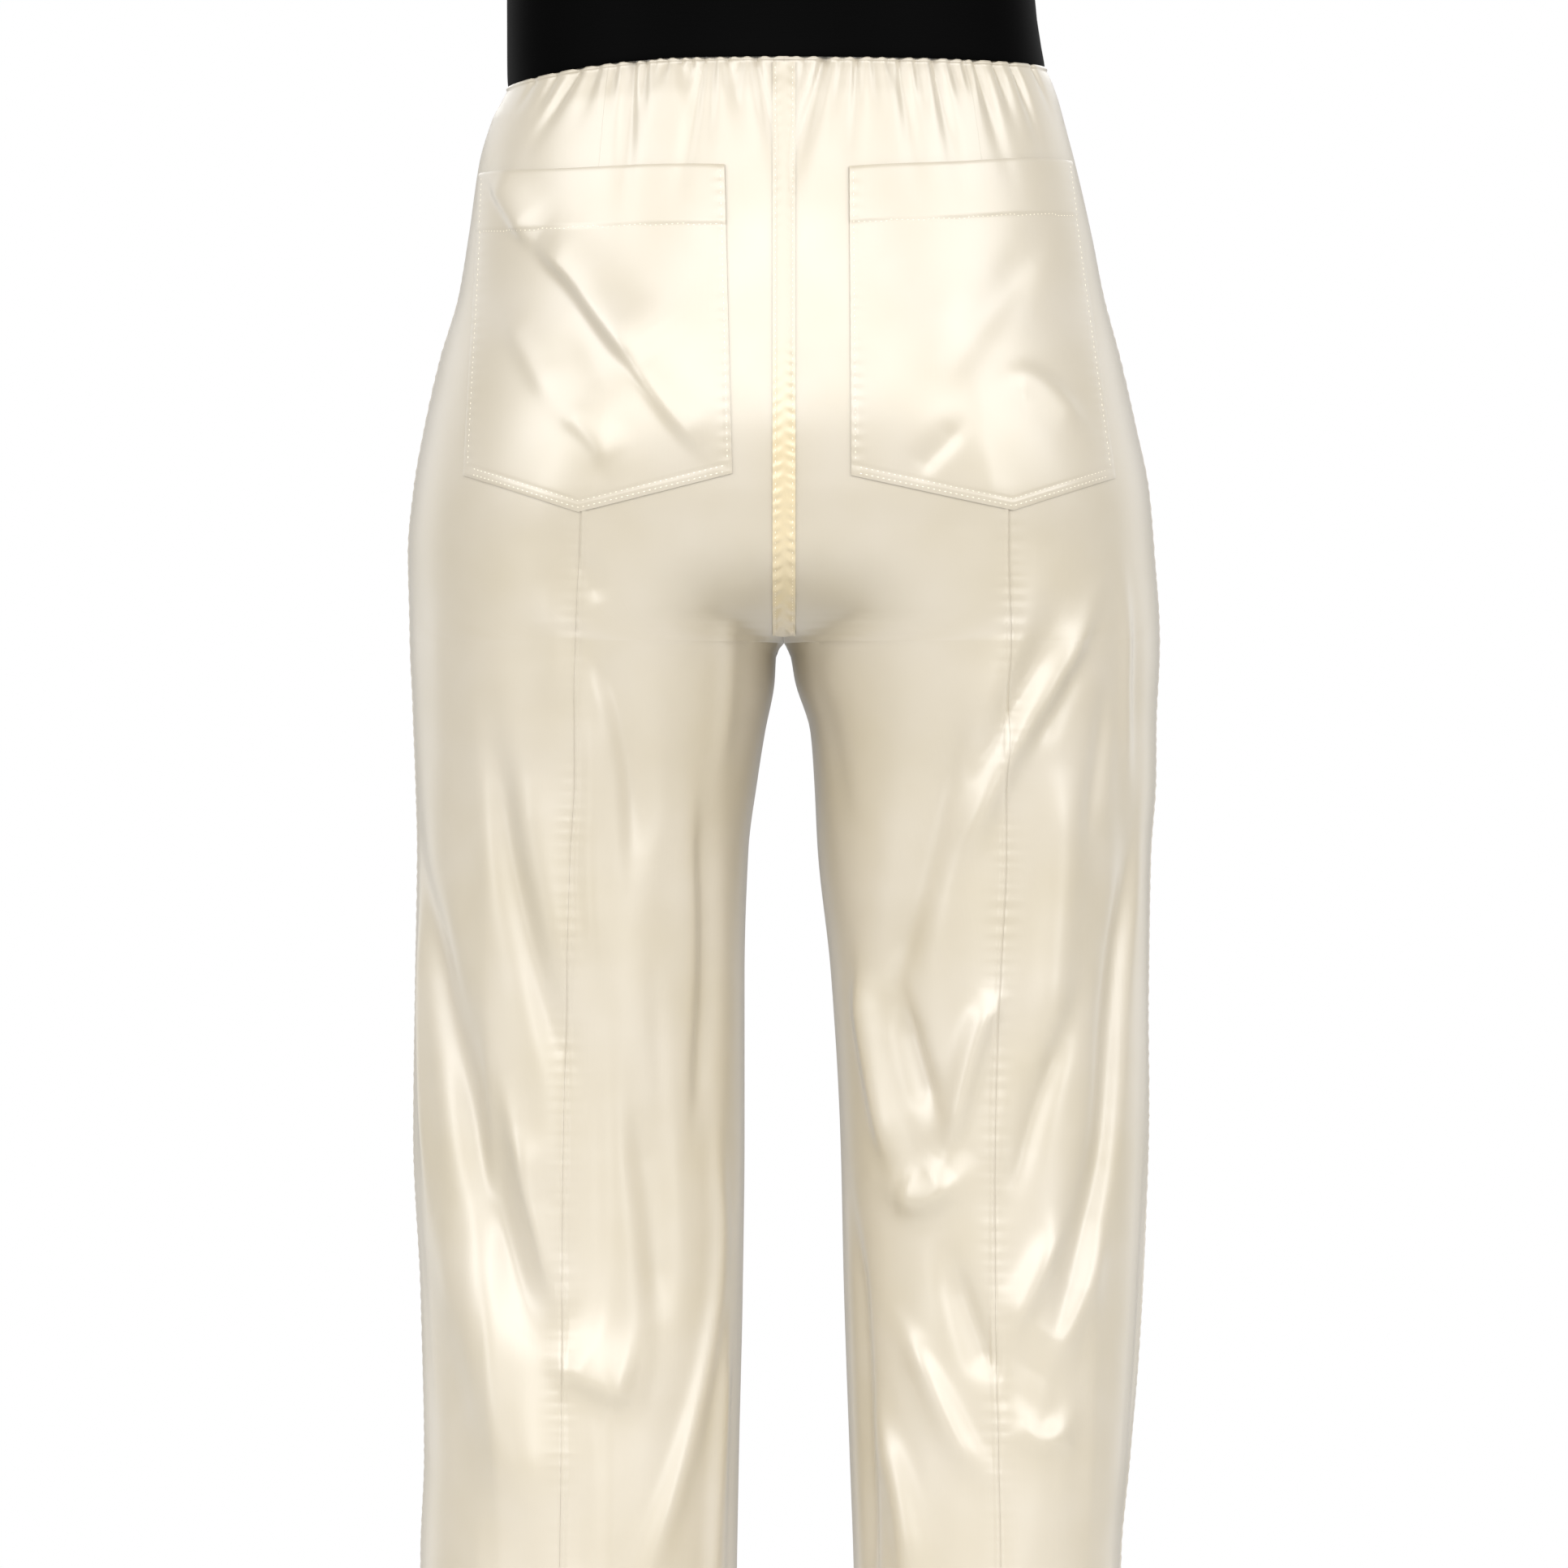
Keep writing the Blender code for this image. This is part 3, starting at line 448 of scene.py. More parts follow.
def plain_surface(side, t, z):
    """x, y, outward directions and how far those face back or front, before the folds, for a left half."""
    share = leg_share(t, z)
    inner, wide = width_of(side, t, z)
    half_width = wide / (1 + share)
    angle = angle_at(side, t, z)
    depth = np.where(angle >= 0, column_of("back", z), column_of("front", z))
    x = inner + half_width * (share + np.cos(angle))
    y = depth * np.abs(np.sin(angle))
    other_leg = depth * np.sqrt(np.clip(1 - (x / half_width + share) ** 2, 0, None))
    other_leg = np.where(z >= CROTCH_Z, other_leg, 0)
    turn = end_angle(z) - math.pi / 2
    rounding = VALLEY * np.sin(2 * turn) * bell(x, VALLEY_REACH)
    y = (y + other_leg + np.sqrt((y - other_leg) ** 2 + rounding ** 2)) / 2
    y *= np.where(angle >= 0, 1, -1)
    normal = unit(np.stack([np.cos(angle) / half_width, np.sin(angle) / depth], axis=-1))
    return x, y, normal, np.abs(np.sin(angle))


# The grid that every satin piece is read from. The bands are heights in millimetres, each with the
# spacing of the rows down to it; the steps are distances from a seam
COLUMNS_A_QUARTER = 70
SEAM_STEPS = (0.6, 1.2, 2.0, 3.2)
QUARTER_MM = 110
ROW_BANDS = ((-29, 0.45), (-60, 1.6), (-850, 2.2), (-1066, 3.5), (-1074, 1.0), (-1097, 3.5), (-1100, 1.0))
T_DIGITS = 9
CROTCH_ROWS = 44
CROTCH_CLEAR = 1 * MM


def grid_columns():
    """t of every column: even ones, and closer ones beside each seam."""
    ts = set(np.linspace(0, 1, 4 * COLUMNS_A_QUARTER + 1).round(T_DIGITS))
    for seam in (0, BACK_SEAM_T, SIDE_T, 1):
        for step in SEAM_STEPS:
            off = BACK_SEAM_T * step / QUARTER_MM
            ts |= {round(t, T_DIGITS) for t in (seam - off, seam + off) if 0 < t < 1}
    return np.array(sorted(ts))


def grid_rows():
    """Heights of every row, from the waist seam to the hem, and closer ones at the crotch."""
    rows = [WAIST_SEAM_Z - SEAM_GAP]
    for low, step in ROW_BANDS:
        top = rows[-1]
        count = max(1, round((top - low * MM) / (step * MM)))
        rows += list(np.linspace(top, low * MM, count + 1)[1:])
    rows = [z for z in rows if not CROTCH_Z - CROTCH_CLEAR < z < CROTCH_Z + CROTCH_TURN]
    turned = np.linspace(0, math.pi / 2, CROTCH_ROWS)
    rows += list(CROTCH_Z + CROTCH_TURN * (1 - np.sin(turned)))
    return np.array(sorted(rows, reverse=True))


class Half:
    """The outer face of one half of the garment: points, outward directions and distances round and down."""

    def __init__(self, side):
        self.side = side
        self.ts = grid_columns()
        self.zs = grid_rows()
        t, z = np.meshgrid(self.ts, self.zs)
        x, y, normal, turned = plain_surface(side, t, z)
        # Between the seams the seat runs into the legs with no line at the crotch's height.
        near = np.abs(self.zs - CROTCH_Z) < BELL_ENDS * SOFT_REACH
        soft = [plain_surface(side, t[near], z[near] + off)[:2] for off in SOFT_STEPS]
        share = (ease(from_centre(t) / SOFT_SHARE) * bell(z - CROTCH_Z, SOFT_REACH))[near]
        x[near] += share * (np.mean([one[0] for one in soft], axis=0) - x[near])
        y[near] += share * (np.mean([one[1] for one in soft], axis=0) - y[near])
        side_column = int(np.searchsorted(self.ts, SIDE_T - TINY_T))
        self.back = slice(0, side_column + 1)
        self.front = slice(side_column, None)
        self.plain_x = x
        step = np.hypot(np.diff(x, axis=1), np.diff(y, axis=1))
        self.round = np.concatenate([np.zeros((len(self.zs), 1)), np.cumsum(step, axis=1)], axis=1)
        # The folds die out at the side and inside seams, where back and front have different ones.
        lift = self.folds() * ease(turned / FOLD_SIDE_SHARE) + drape_lift(side, t, z)
        lift = lift * self.edge_fade(FOLD_EDGE) + gather_lift(side, t, z) * self.edge_fade(GATHER_EDGE)
        lift += BEAD_RISE * bell(z - BEAD_Z, BEAD_HALF_WIDTH)
        x = np.maximum(x + lift * normal[..., 0], 0)
        y = y + lift * normal[..., 1]
        sag = waist_dip(SIDES[side] * x) * ease((z - WAIST_DIP_LOW_Z) / (WAIST_DIP_TOP_Z - WAIST_DIP_LOW_Z))
        self.points = np.stack([SIDES[side] * x, y, z - sag], axis=-1)
        self.out = self.directions()

    def edge_fade(self, reach):
        """Nothing at the centre and inside seams, and whole beyond the reach."""
        return ease(np.minimum(self.round, self.round[:, -1:] - self.round) / reach)

    def folds(self):
        """How far all the folds of this half move its points out."""
        lift = np.zeros(self.round.shape)
        seam = int(np.searchsorted(self.ts, BACK_SEAM_T - TINY_T))
        for face, columns, across in (
            ("back_", self.back, self.round - self.round[:, [seam]]),
            ("front_", self.front, self.round[:, -1:] - self.round),
        ):
            for fold in FOLDS[face + self.side]:
                path = np.array(fold.path, float) * MM
                line = []
                for x, z in path:
                    row = int(np.clip(np.searchsorted(-self.zs, -z), 0, len(self.zs) - 1))
                    xs, ways = self.plain_x[row, columns], across[row, columns]
                    order = np.argsort(xs)
                    line.append((np.interp(x, xs[order], ways[order]), z))
                reach = BELL_ENDS * max(fold.near, fold.far) * MM
                rows = (self.zs < path[:, 1].max() + reach) & (self.zs > path[:, 1].min() - reach)
                here = np.broadcast_to(self.zs[rows][:, None], across[rows][:, columns].shape)
                place = np.stack([across[rows][:, columns], here], axis=-1)
                lift[rows, columns] += one_fold(fold, smoothed(np.array(line)), place)
        return lift

    def t_of_x(self, x, z):
        """The t of points of the back at distances x from the centre plane, without folds."""
        row = np.clip(np.searchsorted(-self.zs, -z) - 1, 0, len(self.zs) - 2)
        found = np.zeros(x.shape)
        for number in np.unique(row):
            here = row == number
            upper = np.interp(x[here], self.plain_x[number, self.back], self.ts[self.back])
            lower = np.interp(x[here], self.plain_x[number + 1, self.back], self.ts[self.back])
            v = (z[here] - self.zs[number]) / (self.zs[number + 1] - self.zs[number])
            found[here] = upper * (1 - v) + lower * v
        return found

    def directions(self):
        """Outward directions, which agree where the two ends of a leg meet and where the halves do."""
        across = np.gradient(self.points, axis=1)
        down = np.gradient(self.points, axis=0)
        out = unit(np.cross(across, down) * SIDES[self.side])
        leg = self.zs < CROTCH_Z
        both = unit((out[leg, 0] + out[leg, -1]) * (1, 0, 1))
        out[leg, 0] = both
        out[leg, -1] = both
        for column, way in ((0, 1), (-1, -1)):
            lean = np.gradient(self.points[~leg, column, 1], self.zs[~leg])
            out[~leg, column] = unit(np.stack([0 * lean, way + 0 * lean, -way * lean], axis=-1))
        return out


RIM_ANGLE = math.radians(50)


def new_object(name, points, faces, uv, material):
    mesh = bpy.data.meshes.new(name)
    mesh.from_pydata(np.asarray(points).reshape(-1, 3).tolist(), [], faces)
    layer = mesh.uv_layers.new(name="cloth")
    loops = np.zeros(len(mesh.loops), np.int32)
    mesh.loops.foreach_get("vertex_index", loops)
    layer.data.foreach_set("uv", np.asarray(uv, np.float32).reshape(-1, 2)[loops].ravel())
    mesh.validate()
    mesh.shade_smooth()
    mesh.set_sharp_from_angle(angle=RIM_ANGLE)
    mesh.materials.append(material)
    made = bpy.data.objects.new(name, mesh)
    bpy.context.scene.collection.objects.link(made)
    return made


def quads(index):
    """The four corners of every cell in a grid of point numbers."""
    corners = [index[:-1, :-1], index[:-1, 1:], index[1:, 1:], index[1:, :-1]]
    return np.stack(corners, axis=-1).reshape(-1, 4)


def sheet_shell(name, points, out, uv, thick, material, flip, inner_step=3):
    """A closed thin shell on a grid of points: the outer face, an inner face of fewer rows and a rim."""
    rows, columns = points.shape[:2]
    count = rows * columns
    index = np.arange(count).reshape(rows, columns)
    kept = sorted({*range(0, rows, inner_step), rows - 1})
    inner = count + np.arange(len(kept) * columns).reshape(len(kept), columns)
    every = quads(index).tolist() + quads(inner)[:, [0, 3, 2, 1]].tolist()
    for row, of in ((0, 0), (rows - 1, -1)):
        for c in range(columns - 1):
            face = [index[row, c + 1], index[row, c], inner[of, c], inner[of, c + 1]]
            every.append(face if row == 0 else face[::-1])
    for column in (0, columns - 1):
        for k in range(len(kept) - 1):
            face = [*index[kept[k]:kept[k + 1] + 1, column], inner[k + 1, column], inner[k, column]]
            every.append(face if column == 0 else face[::-1])
    every = [[int(i) for i in face] for face in every]
    if flip:
        every = [face[::-1] for face in every]
    low = (points - thick * out)[kept]
    both = np.concatenate([points.reshape(-1, 3), low.reshape(-1, 3)])
    both_uv = np.concatenate([uv.reshape(-1, 2), uv[kept].reshape(-1, 2)])
    return new_object(name, both, every, both_uv, material)


# Materials. Painted shade: the felled strip turns from the satin's colour to a golden one between these two
# heights
FELL_SHADE_BEGINS_Z = -170 * MM
FELL_SHADE_WHOLE_Z = -230 * MM


def add(tree, kind, settings=(), **links):
    """A node with its settings and the sockets that feed it."""
    node = tree.nodes.new(kind)
    for name, value in dict(settings).items():
        if hasattr(node, name):
            setattr(node, name, value)
        else:
            node.inputs[name].default_value = value
    for name, source in links.items():
        tree.links.new(source, node.inputs[int(name[1:]) if name[0] == "i" else name])
    return node


def start_material(name):
    material = bpy.data.materials.new(name)
    material.use_nodes = True
    tree = material.node_tree
    return material, tree, tree.nodes["Principled BSDF"]


def satin_material(name, colour, shade, above=None):
    """Silk satin in ivory. Its long floats give a broad, soft highlight on every fold that faces a light."""
    material, tree, shader = start_material(name)
    uv = add(tree, "ShaderNodeUVMap", {"uv_map": "cloth"}).outputs[0]
    # Uneven dye and lustre, in clouds of 60 mm
    clouds = add(tree, "ShaderNodeTexNoise", {"Scale": 16.0, "Detail": 2.0}, Vector=uv)
    tone = add(tree, "ShaderNodeMapRange", {"From Min": 0.3, "From Max": 0.7}, Value=clouds.outputs[0])
    mix = add(tree, "ShaderNodeMix", {"data_type": "RGBA"}, Factor=tone.outputs[0])
    mix.inputs["A"].default_value = linear(shade)
    mix.inputs["B"].default_value = linear(colour)
    tone_out = mix.outputs["Result"]
    if above:
        # Painted shade: low on the seat, where the seat turns under, the strip turns golden; higher up it
        # keeps the colour above
        height = add(tree, "ShaderNodeSeparateXYZ", Vector=uv)
        heights = {"From Min": FELL_SHADE_BEGINS_Z, "From Max": FELL_SHADE_WHOLE_Z}
        low = add(tree, "ShaderNodeMapRange", heights, Value=height.outputs["Y"])
        mixed = add(tree, "ShaderNodeMix", {"data_type": "RGBA"}, Factor=low.outputs[0])
        mixed.inputs["A"].default_value = linear(above)
        tree.links.new(tone_out, mixed.inputs["B"])
        tone_out = mixed.outputs["Result"]
    tree.links.new(tone_out, shader.inputs["Base Color"])
    # Slubs along the warp, 2 mm across and 25 mm long, which keep the highlight from being a plastic's
    slubs = add(tree, "ShaderNodeMapping", {"Scale": (500, 40, 1)}, Vector=uv)
    threads = add(tree, "ShaderNodeTexNoise", {"Scale": 1.0, "Detail": 2.0}, Vector=slubs.outputs[0])
    bump = add(tree, "ShaderNodeBump", {"Strength": 0.10, "Distance": 0.0004}, Height=threads.outputs[0])
    tree.links.new(bump.outputs[0], shader.inputs["Normal"])
    shader.inputs["Roughness"].default_value = 0.43
    shader.inputs["IOR"].default_value = 1.54
    shader.inputs["Specular IOR Level"].default_value = 1.0
    # The calendered face of the floats, smoother than the cloth under it
    shader.inputs["Coat Weight"].default_value = 1.0
    shader.inputs["Coat Roughness"].default_value = 0.33
    return material


def band_material(name, colour):
    """Satin-faced elastic in black, which shows a grey sheen only where it turns away."""
    material, tree, shader = start_material(name)
    uv = add(tree, "ShaderNodeUVMap", {"uv_map": "cloth"}).outputs[0]
    # The elastic's ribs, 1.2 mm apart
    ribs = add(tree, "ShaderNodeMapping", {"Scale": (60, 830, 1)}, Vector=uv)
    noise = add(tree, "ShaderNodeTexNoise", {"Scale": 1.0, "Detail": 1.0}, Vector=ribs.outputs[0])
    bump = add(tree, "ShaderNodeBump", {"Strength": 0.12, "Distance": 0.0003}, Height=noise.outputs[0])
    tree.links.new(bump.outputs[0], shader.inputs["Normal"])
    shader.inputs["Base Color"].default_value = linear(colour)
    shader.inputs["Roughness"].default_value = 0.45
    shader.inputs["IOR"].default_value = 1.45
    shader.inputs["Specular IOR Level"].default_value = 0.015
    return material


def thread_material(name, colour):
    """Spun polyester thread, a little brighter than the satin and quite matt."""
    material, _, shader = start_material(name)
    shader.inputs["Base Color"].default_value = linear(colour)
    shader.inputs["Roughness"].default_value = 0.6
    return material


def floor_material(name, colour):
    """Painted studio floor, matt."""
    material, _, shader = start_material(name)
    shader.inputs["Base Color"].default_value = linear(colour)
    shader.inputs["Roughness"].default_value = 0.8
    return material


def a_length(name, description, millimetres):
    return bpy.props.FloatProperty(
        name=name, description=description, default=millimetres * MM, unit="LENGTH"
    )


def a_colour(name, description, hex_colour):
    return bpy.props.StringProperty(name=name, description=description, default=hex_colour)


class TrousersSizes(bpy.types.PropertyGroup):
    wall: a_length("Satin", "Thickness of the satin", 0.9)
    seam_dip: a_length("Seam dip", "How deep the cloth turns in at a seam", 0.3)
    seam_ridge: a_length("Seam ridge", "How high a seam's allowance lifts one side", 0.55)
    pucker: a_length("Pucker", "Height of the puckers beside a seam", 0.2)
    band_height: a_length("Waistband", "Height of the elastic", 50)
    band_wall: a_length("Elastic", "Thickness of the elastic", 2.4)
    stitch: a_length("Stitch", "Length of one stitch and the gap after it", 3)


class TrousersColours(bpy.types.PropertyGroup):
    satin: a_colour("Satin", "Colour of the satin, sRGB hex", "#B8AF9E")
    satin_shade: a_colour("Shade", "Its darker clouds, sRGB hex", "#B2A893")
    # The felled strip's colours, which paint its shade low on the seat
    fell_in_shade: a_colour("Doubled", "Colour of the doubled strip, sRGB hex", "#CABA96")
    fell_in_shade_clouds: a_colour("Doubled shade", "Its clouds, sRGB hex", "#C5B48D")
    thread: a_colour("Thread", "Colour of the stitches, sRGB hex", "#F4ECD8")
    band: a_colour("Waistband", "Colour of the elastic, sRGB hex", "#040404")
    floor: a_colour("Floor", "Colour of the floor, sRGB hex", "#F4F3F0")


def shared_material(make, name, *looks):
    """The material of this name, made when it is first asked for."""
    return bpy.data.materials.get(name) or make(name, *looks)


def satin():
    colours = bpy.context.scene.trousers_colours
    return shared_material(satin_material, "ivory satin", colours.satin, colours.satin_shade)


# The felled strip's satin, with painted shade low on the seat
def doubled_satin():
    colours = bpy.context.scene.trousers_colours
    looks = (colours.fell_in_shade, colours.fell_in_shade_clouds, colours.satin_shade)
    return shared_material(satin_material, "ivory satin, doubled", *looks)


def thread():
    return shared_material(thread_material, "ivory thread", bpy.context.scene.trousers_colours.thread)


HALVES = {}


def half(side):
    if side not in HALVES:
        HALVES[side] = Half(side)
    return HALVES[side]


def hand_over(made, node):
    """Hangs a sheet of satin on the root and hides the solid of its node, which it stands in for."""
    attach(made, "root")
    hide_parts(node)


# Puckers: knots down the garment, between which their spacing and strength change, the ranges of both,
# their usual spacing and how far from the seam they reach
PUCKER_KNOTS = np.linspace(30 * MM, HEM_Z - 10 * MM, 240)
PUCKER_SPACING = (0.75, 1.45)
PUCKER_STRENGTH = (0.1, 1.6)
PUCKER_SMOOTHING = np.ones(5) / 5
PUCKER_PITCH = 7.2 * MM
PUCKER_REACH = 7 * MM


def puckers(z, away, seed, reach=PUCKER_REACH):
    """Short ticks across a seam, uneven in spacing and height, at heights z and distances from the seam."""
    random = np.random.default_rng(seed)
    count = len(PUCKER_KNOTS)
    wander = np.interp(-z, -PUCKER_KNOTS, np.cumsum(random.uniform(*PUCKER_SPACING, count)))
    phase = wander * (PUCKER_KNOTS[0] - PUCKER_KNOTS[-1]) / count / PUCKER_PITCH * 2 * math.pi
    strength = np.convolve(random.uniform(*PUCKER_STRENGTH, count), PUCKER_SMOOTHING, "same")
    return np.sin(phase) * np.interp(-z, -PUCKER_KNOTS, strength) * bell(away, reach)


# The panels of a half: name, the t of the two edges, and of how many rows one is kept below the gathers
PANELS = (("back_inner", 0, BACK_SEAM_T, 1), ("back_outer", BACK_SEAM_T, SIDE_T, 1), ("front", SIDE_T, 1, 2))
WHOLE_ROWS_Z = -32 * MM
# The gathers hide the seams above the pockets, and the seams come out below the pockets' tops
SEAM_SHOWS_Z = -100 * MM
SEAM_SHOWS_IN = 60 * MM
SEAM_DIP_HALF_WIDTH = 0.7 * MM
RIDGE_FROM_SEAM = 1.6 * MM
RIDGE_HALF_WIDTH = 1.1 * MM
# The largest share of its last step by which a panel's edge is drawn back from the seam
DRAWN_BACK = 0.4
SEAM_SEEDS = {
    ("left", BACK_SEAM_T): 31,
    ("right", BACK_SEAM_T): 32,
    ("left", SIDE_T): 33,
    ("right", SIDE_T): 34,
}


class MakePanels(bpy.types.Operator):
    """Makes the six panels of the two halves, gathered under the waistband and folded down the legs"""

    bl_idname = "trousers.make_panels"
    bl_label = "Panels"

    def execute(self, context):
        sizes = context.scene.trousers_sizes
        for side in SIDES:
            whole = half(side)
            for name, low, high, row_step in PANELS:
                node = f"{name}_{side}"
                rows = np.array([z > WHOLE_ROWS_Z or i % row_step == 0 for i, z in enumerate(whole.zs)])
                rows[-1] = True
                inside = (whole.ts > low - TINY_T) & (whole.ts < high + TINY_T)
                points = whole.points[rows][:, inside]
                out = whole.out[rows][:, inside]
                round_it = whole.round[rows][:, inside]
                zs = whole.zs[rows]
                from_low = round_it - round_it[:, :1]
                from_high = round_it[:, -1:] - round_it
                shown = ease((SEAM_SHOWS_Z - zs) / SEAM_SHOWS_IN)[:, None]
                lift = -sizes.seam_dip * shown * bell(np.minimum(from_low, from_high), SEAM_DIP_HALF_WIDTH)
                if name != "front":
                    ridge = bell(from_high - RIDGE_FROM_SEAM, RIDGE_HALF_WIDTH)
                    lift = lift + sizes.seam_ridge * shown * ridge
                    for seam, away in ((low, from_low), (high, from_high)):
                        if (side, seam) in SEAM_SEEDS:
                            tick = puckers(zs[:, None], away, SEAM_SEEDS[side, seam])
                            lift = lift + sizes.pucker * tick * shown
                points += lift[..., None] * out
                for end, near in ((0, 1), (-1, -2)):
                    along = points[:, near] - points[:, end]
                    step = np.linalg.norm(along, axis=-1, keepdims=True)
                    points[:, end] += along * np.minimum(DRAWN_BACK, SEAM_TOUCH / step)
                for end, t in ((0, low), (-1, high)):
                    if t in (0, 1):
                        points[zs >= CROTCH_Z, end, 0] = SIDES[side] * SEAM_TOUCH
                uv = np.stack([round_it, np.broadcast_to(zs[:, None], round_it.shape)], axis=-1)
                made = sheet_shell(node + "_satin", points, out, uv, sizes.wall, satin(), side == "left")
                hand_over(made, node)
        return {"FINISHED"}


def read_grid(whole, t, z, values):
    """Values of a half's grid at arrays of t and z, read between its points."""
    column = np.clip(np.searchsorted(whole.ts, t) - 1, 0, len(whole.ts) - 2)
    row = np.clip(np.searchsorted(-whole.zs, -z) - 1, 0, len(whole.zs) - 2)
    u = ((t - whole.ts[column]) / (whole.ts[column + 1] - whole.ts[column]))[..., None]
    v = ((z - whole.zs[row]) / (whole.zs[row + 1] - whole.zs[row]))[..., None]
    upper = values[row, column] * (1 - u) + values[row, column + 1] * u
    lower = values[row + 1, column] * (1 - u) + values[row + 1, column + 1] * u
    return upper * (1 - v) + lower * v


# The pockets' outlines: how much higher the outer end of the top edge stands, in millimetres, and the
# wave of that edge, as its height, how fast it runs, where it starts and the power it grows with
POCKET_GRID = (120, 160)
POCKET_TOP_RISE = {"left": 0, "right": 8}
POCKET_TOP_WAVE = {"left": (0.5, 7, 0, 0), "right": (0.7, 9, 1, 1)}
TRIM_LIFT = 0.25 * MM
TRIM_WALL = 0.6 * MM
# Height of a pocket's face over its edges, at distances in from the edge, in millimetres
LOWER_EDGE = (
    (0, 0.0), (0.8, 0.75), (1.8, 0.55), (2.4, 0.15), (3.2, 0.6), (4.6, 0.55), (5.6, 0.0), (7.0, 0.35),
    (12, 0.4),
)
SIDE_EDGE = ((0, 0.0), (0.8, 0.5), (1.6, 0.35), (2.2, 0.1), (3.2, 0.4), (12, 0.4))
HEM_EDGE = ((-12, 0.55), (-1.2, 0.55), (0, 0.0), (1.4, 0.0), (12, 0.0))
# How deep the top edge is pressed, and how far down
TOP_PRESS = 0.5 * MM
TOP_PRESS_REACH = 0.8 * MM
# The puckers beside a pocket's sides: their strength, their reach and how far in they are whole
POCKET_PUCKER = 0.8
POCKET_PUCKER_REACH = 6 * MM
POCKET_PUCKER_IN = 2 * MM
POCKET_SEED = 51
# How far in from the edges the stitches run, and over which of the grid's columns and rows
LOWER_STITCHES = (2.4 * MM, 5.6 * MM)
SIDE_STITCHES = 2.2 * MM
STITCHED_COLUMNS = slice(3, -3)
STITCHED_ROWS = slice(2, -5)


def along_table(table, distance):
    places, heights = zip(*table)
    return np.interp(distance / MM, places, heights) * MM


def pocket_places(spec):
    """t and z of a pocket's grid, each point's share across, and its column's lower and upper edges."""
    across, down = POCKET_GRID
    u, share = np.meshgrid(np.linspace(0, 1, across + 1), np.linspace(0, 1, down + 1))
    x_low = spec.low_in + u * (spec.low_out - spec.low_in)
    rising = (x_low - spec.low_in) / (spec.point_x - spec.low_in)
    falling = (spec.low_out - x_low) / (spec.low_out - spec.point_x)
    low_z = spec.low_z + np.minimum(rising, falling) * (spec.point_z - spec.low_z)
    wave, fast, start, power = POCKET_TOP_WAVE[spec.side]
    top_z = spec.top_z + POCKET_TOP_RISE[spec.side] * u + wave * np.sin(fast * u + start) * u ** power
    z = (top_z + share * (low_z - top_z)) * MM
    down_share = (spec.top_z * MM - z) / ((spec.top_z - spec.low_z) * MM)
    x_in = spec.top_in + down_share * (spec.low_in - spec.top_in)
    x_out = spec.top_out + down_share * (spec.low_out - spec.top_out)
    return half(spec.side).t_of_x((x_in + u * (x_out - x_in)) * MM, z), z, u, low_z * MM, top_z * MM


class MakePockets(bpy.types.Operator):
    """Makes the two back patch pockets, with a turned top hem and a pointed, twice stitched lower edge"""

    bl_idname = "trousers.make_pockets"
    bl_label = "Pockets"

    def execute(self, context):
        sizes = context.scene.trousers_sizes
        for spec in POCKETS:
            whole = half(spec.side)
            t, z, u, low_z, top_z = pocket_places(spec)
            base = read_grid(whole, t, z, whole.points)
            out = unit(read_grid(whole, t, z, whole.out))
            across = np.linalg.norm(base[:, -1] - base[:, 0], axis=-1)[:, None]
            from_low = z - low_z
            from_side = np.minimum(u, 1 - u) * across
            from_top = top_z - z
            edge = np.minimum(along_table(LOWER_EDGE, from_low), along_table(SIDE_EDGE, from_side))
            rise = TRIM_LIFT + TRIM_WALL + edge + along_table(HEM_EDGE, from_top - spec.hem * MM)
            rise = rise - TOP_PRESS * bell(from_top, TOP_PRESS_REACH)
            tick = puckers(z, from_side, POCKET_SEED + SIDES[spec.side], POCKET_PUCKER_REACH)
            rise = rise + POCKET_PUCKER * sizes.pucker * tick * ease(from_side / POCKET_PUCKER_IN)
            points = base + rise[..., None] * out
            uv = np.stack([u * across, z], axis=-1)
            name = "pocket_" + spec.side
            made = sheet_shell(name + "_satin", points, out, uv, TRIM_WALL, satin(), spec.side == "left", 2)
            hand_over(made, name)
            lines = [row_beside(points, out, from_low, inset, 0) for inset in LOWER_STITCHES]
            lines.append(row_beside(points, out, from_top, spec.hem * MM, 0))
            for from_edge in (u * across, (1 - u) * across):
                lines.append(row_beside(points, out, from_edge, SIDE_STITCHES, 1))
            stitches(name + "_stitches", lines)
        return {"FINISHED"}


# Six-sided stitches: the section is a flat diamond, pulled to a point at each end. The shares are where
# the first one starts, how much of its length a stitch fills and how deep its ends sink
STITCH_WIDE = 0.32 * MM
STITCH_HIGH = 0.22 * MM
STITCH_STARTS = 0.2
STITCH_FILLS = 0.72
STITCH_SINKS = 0.6


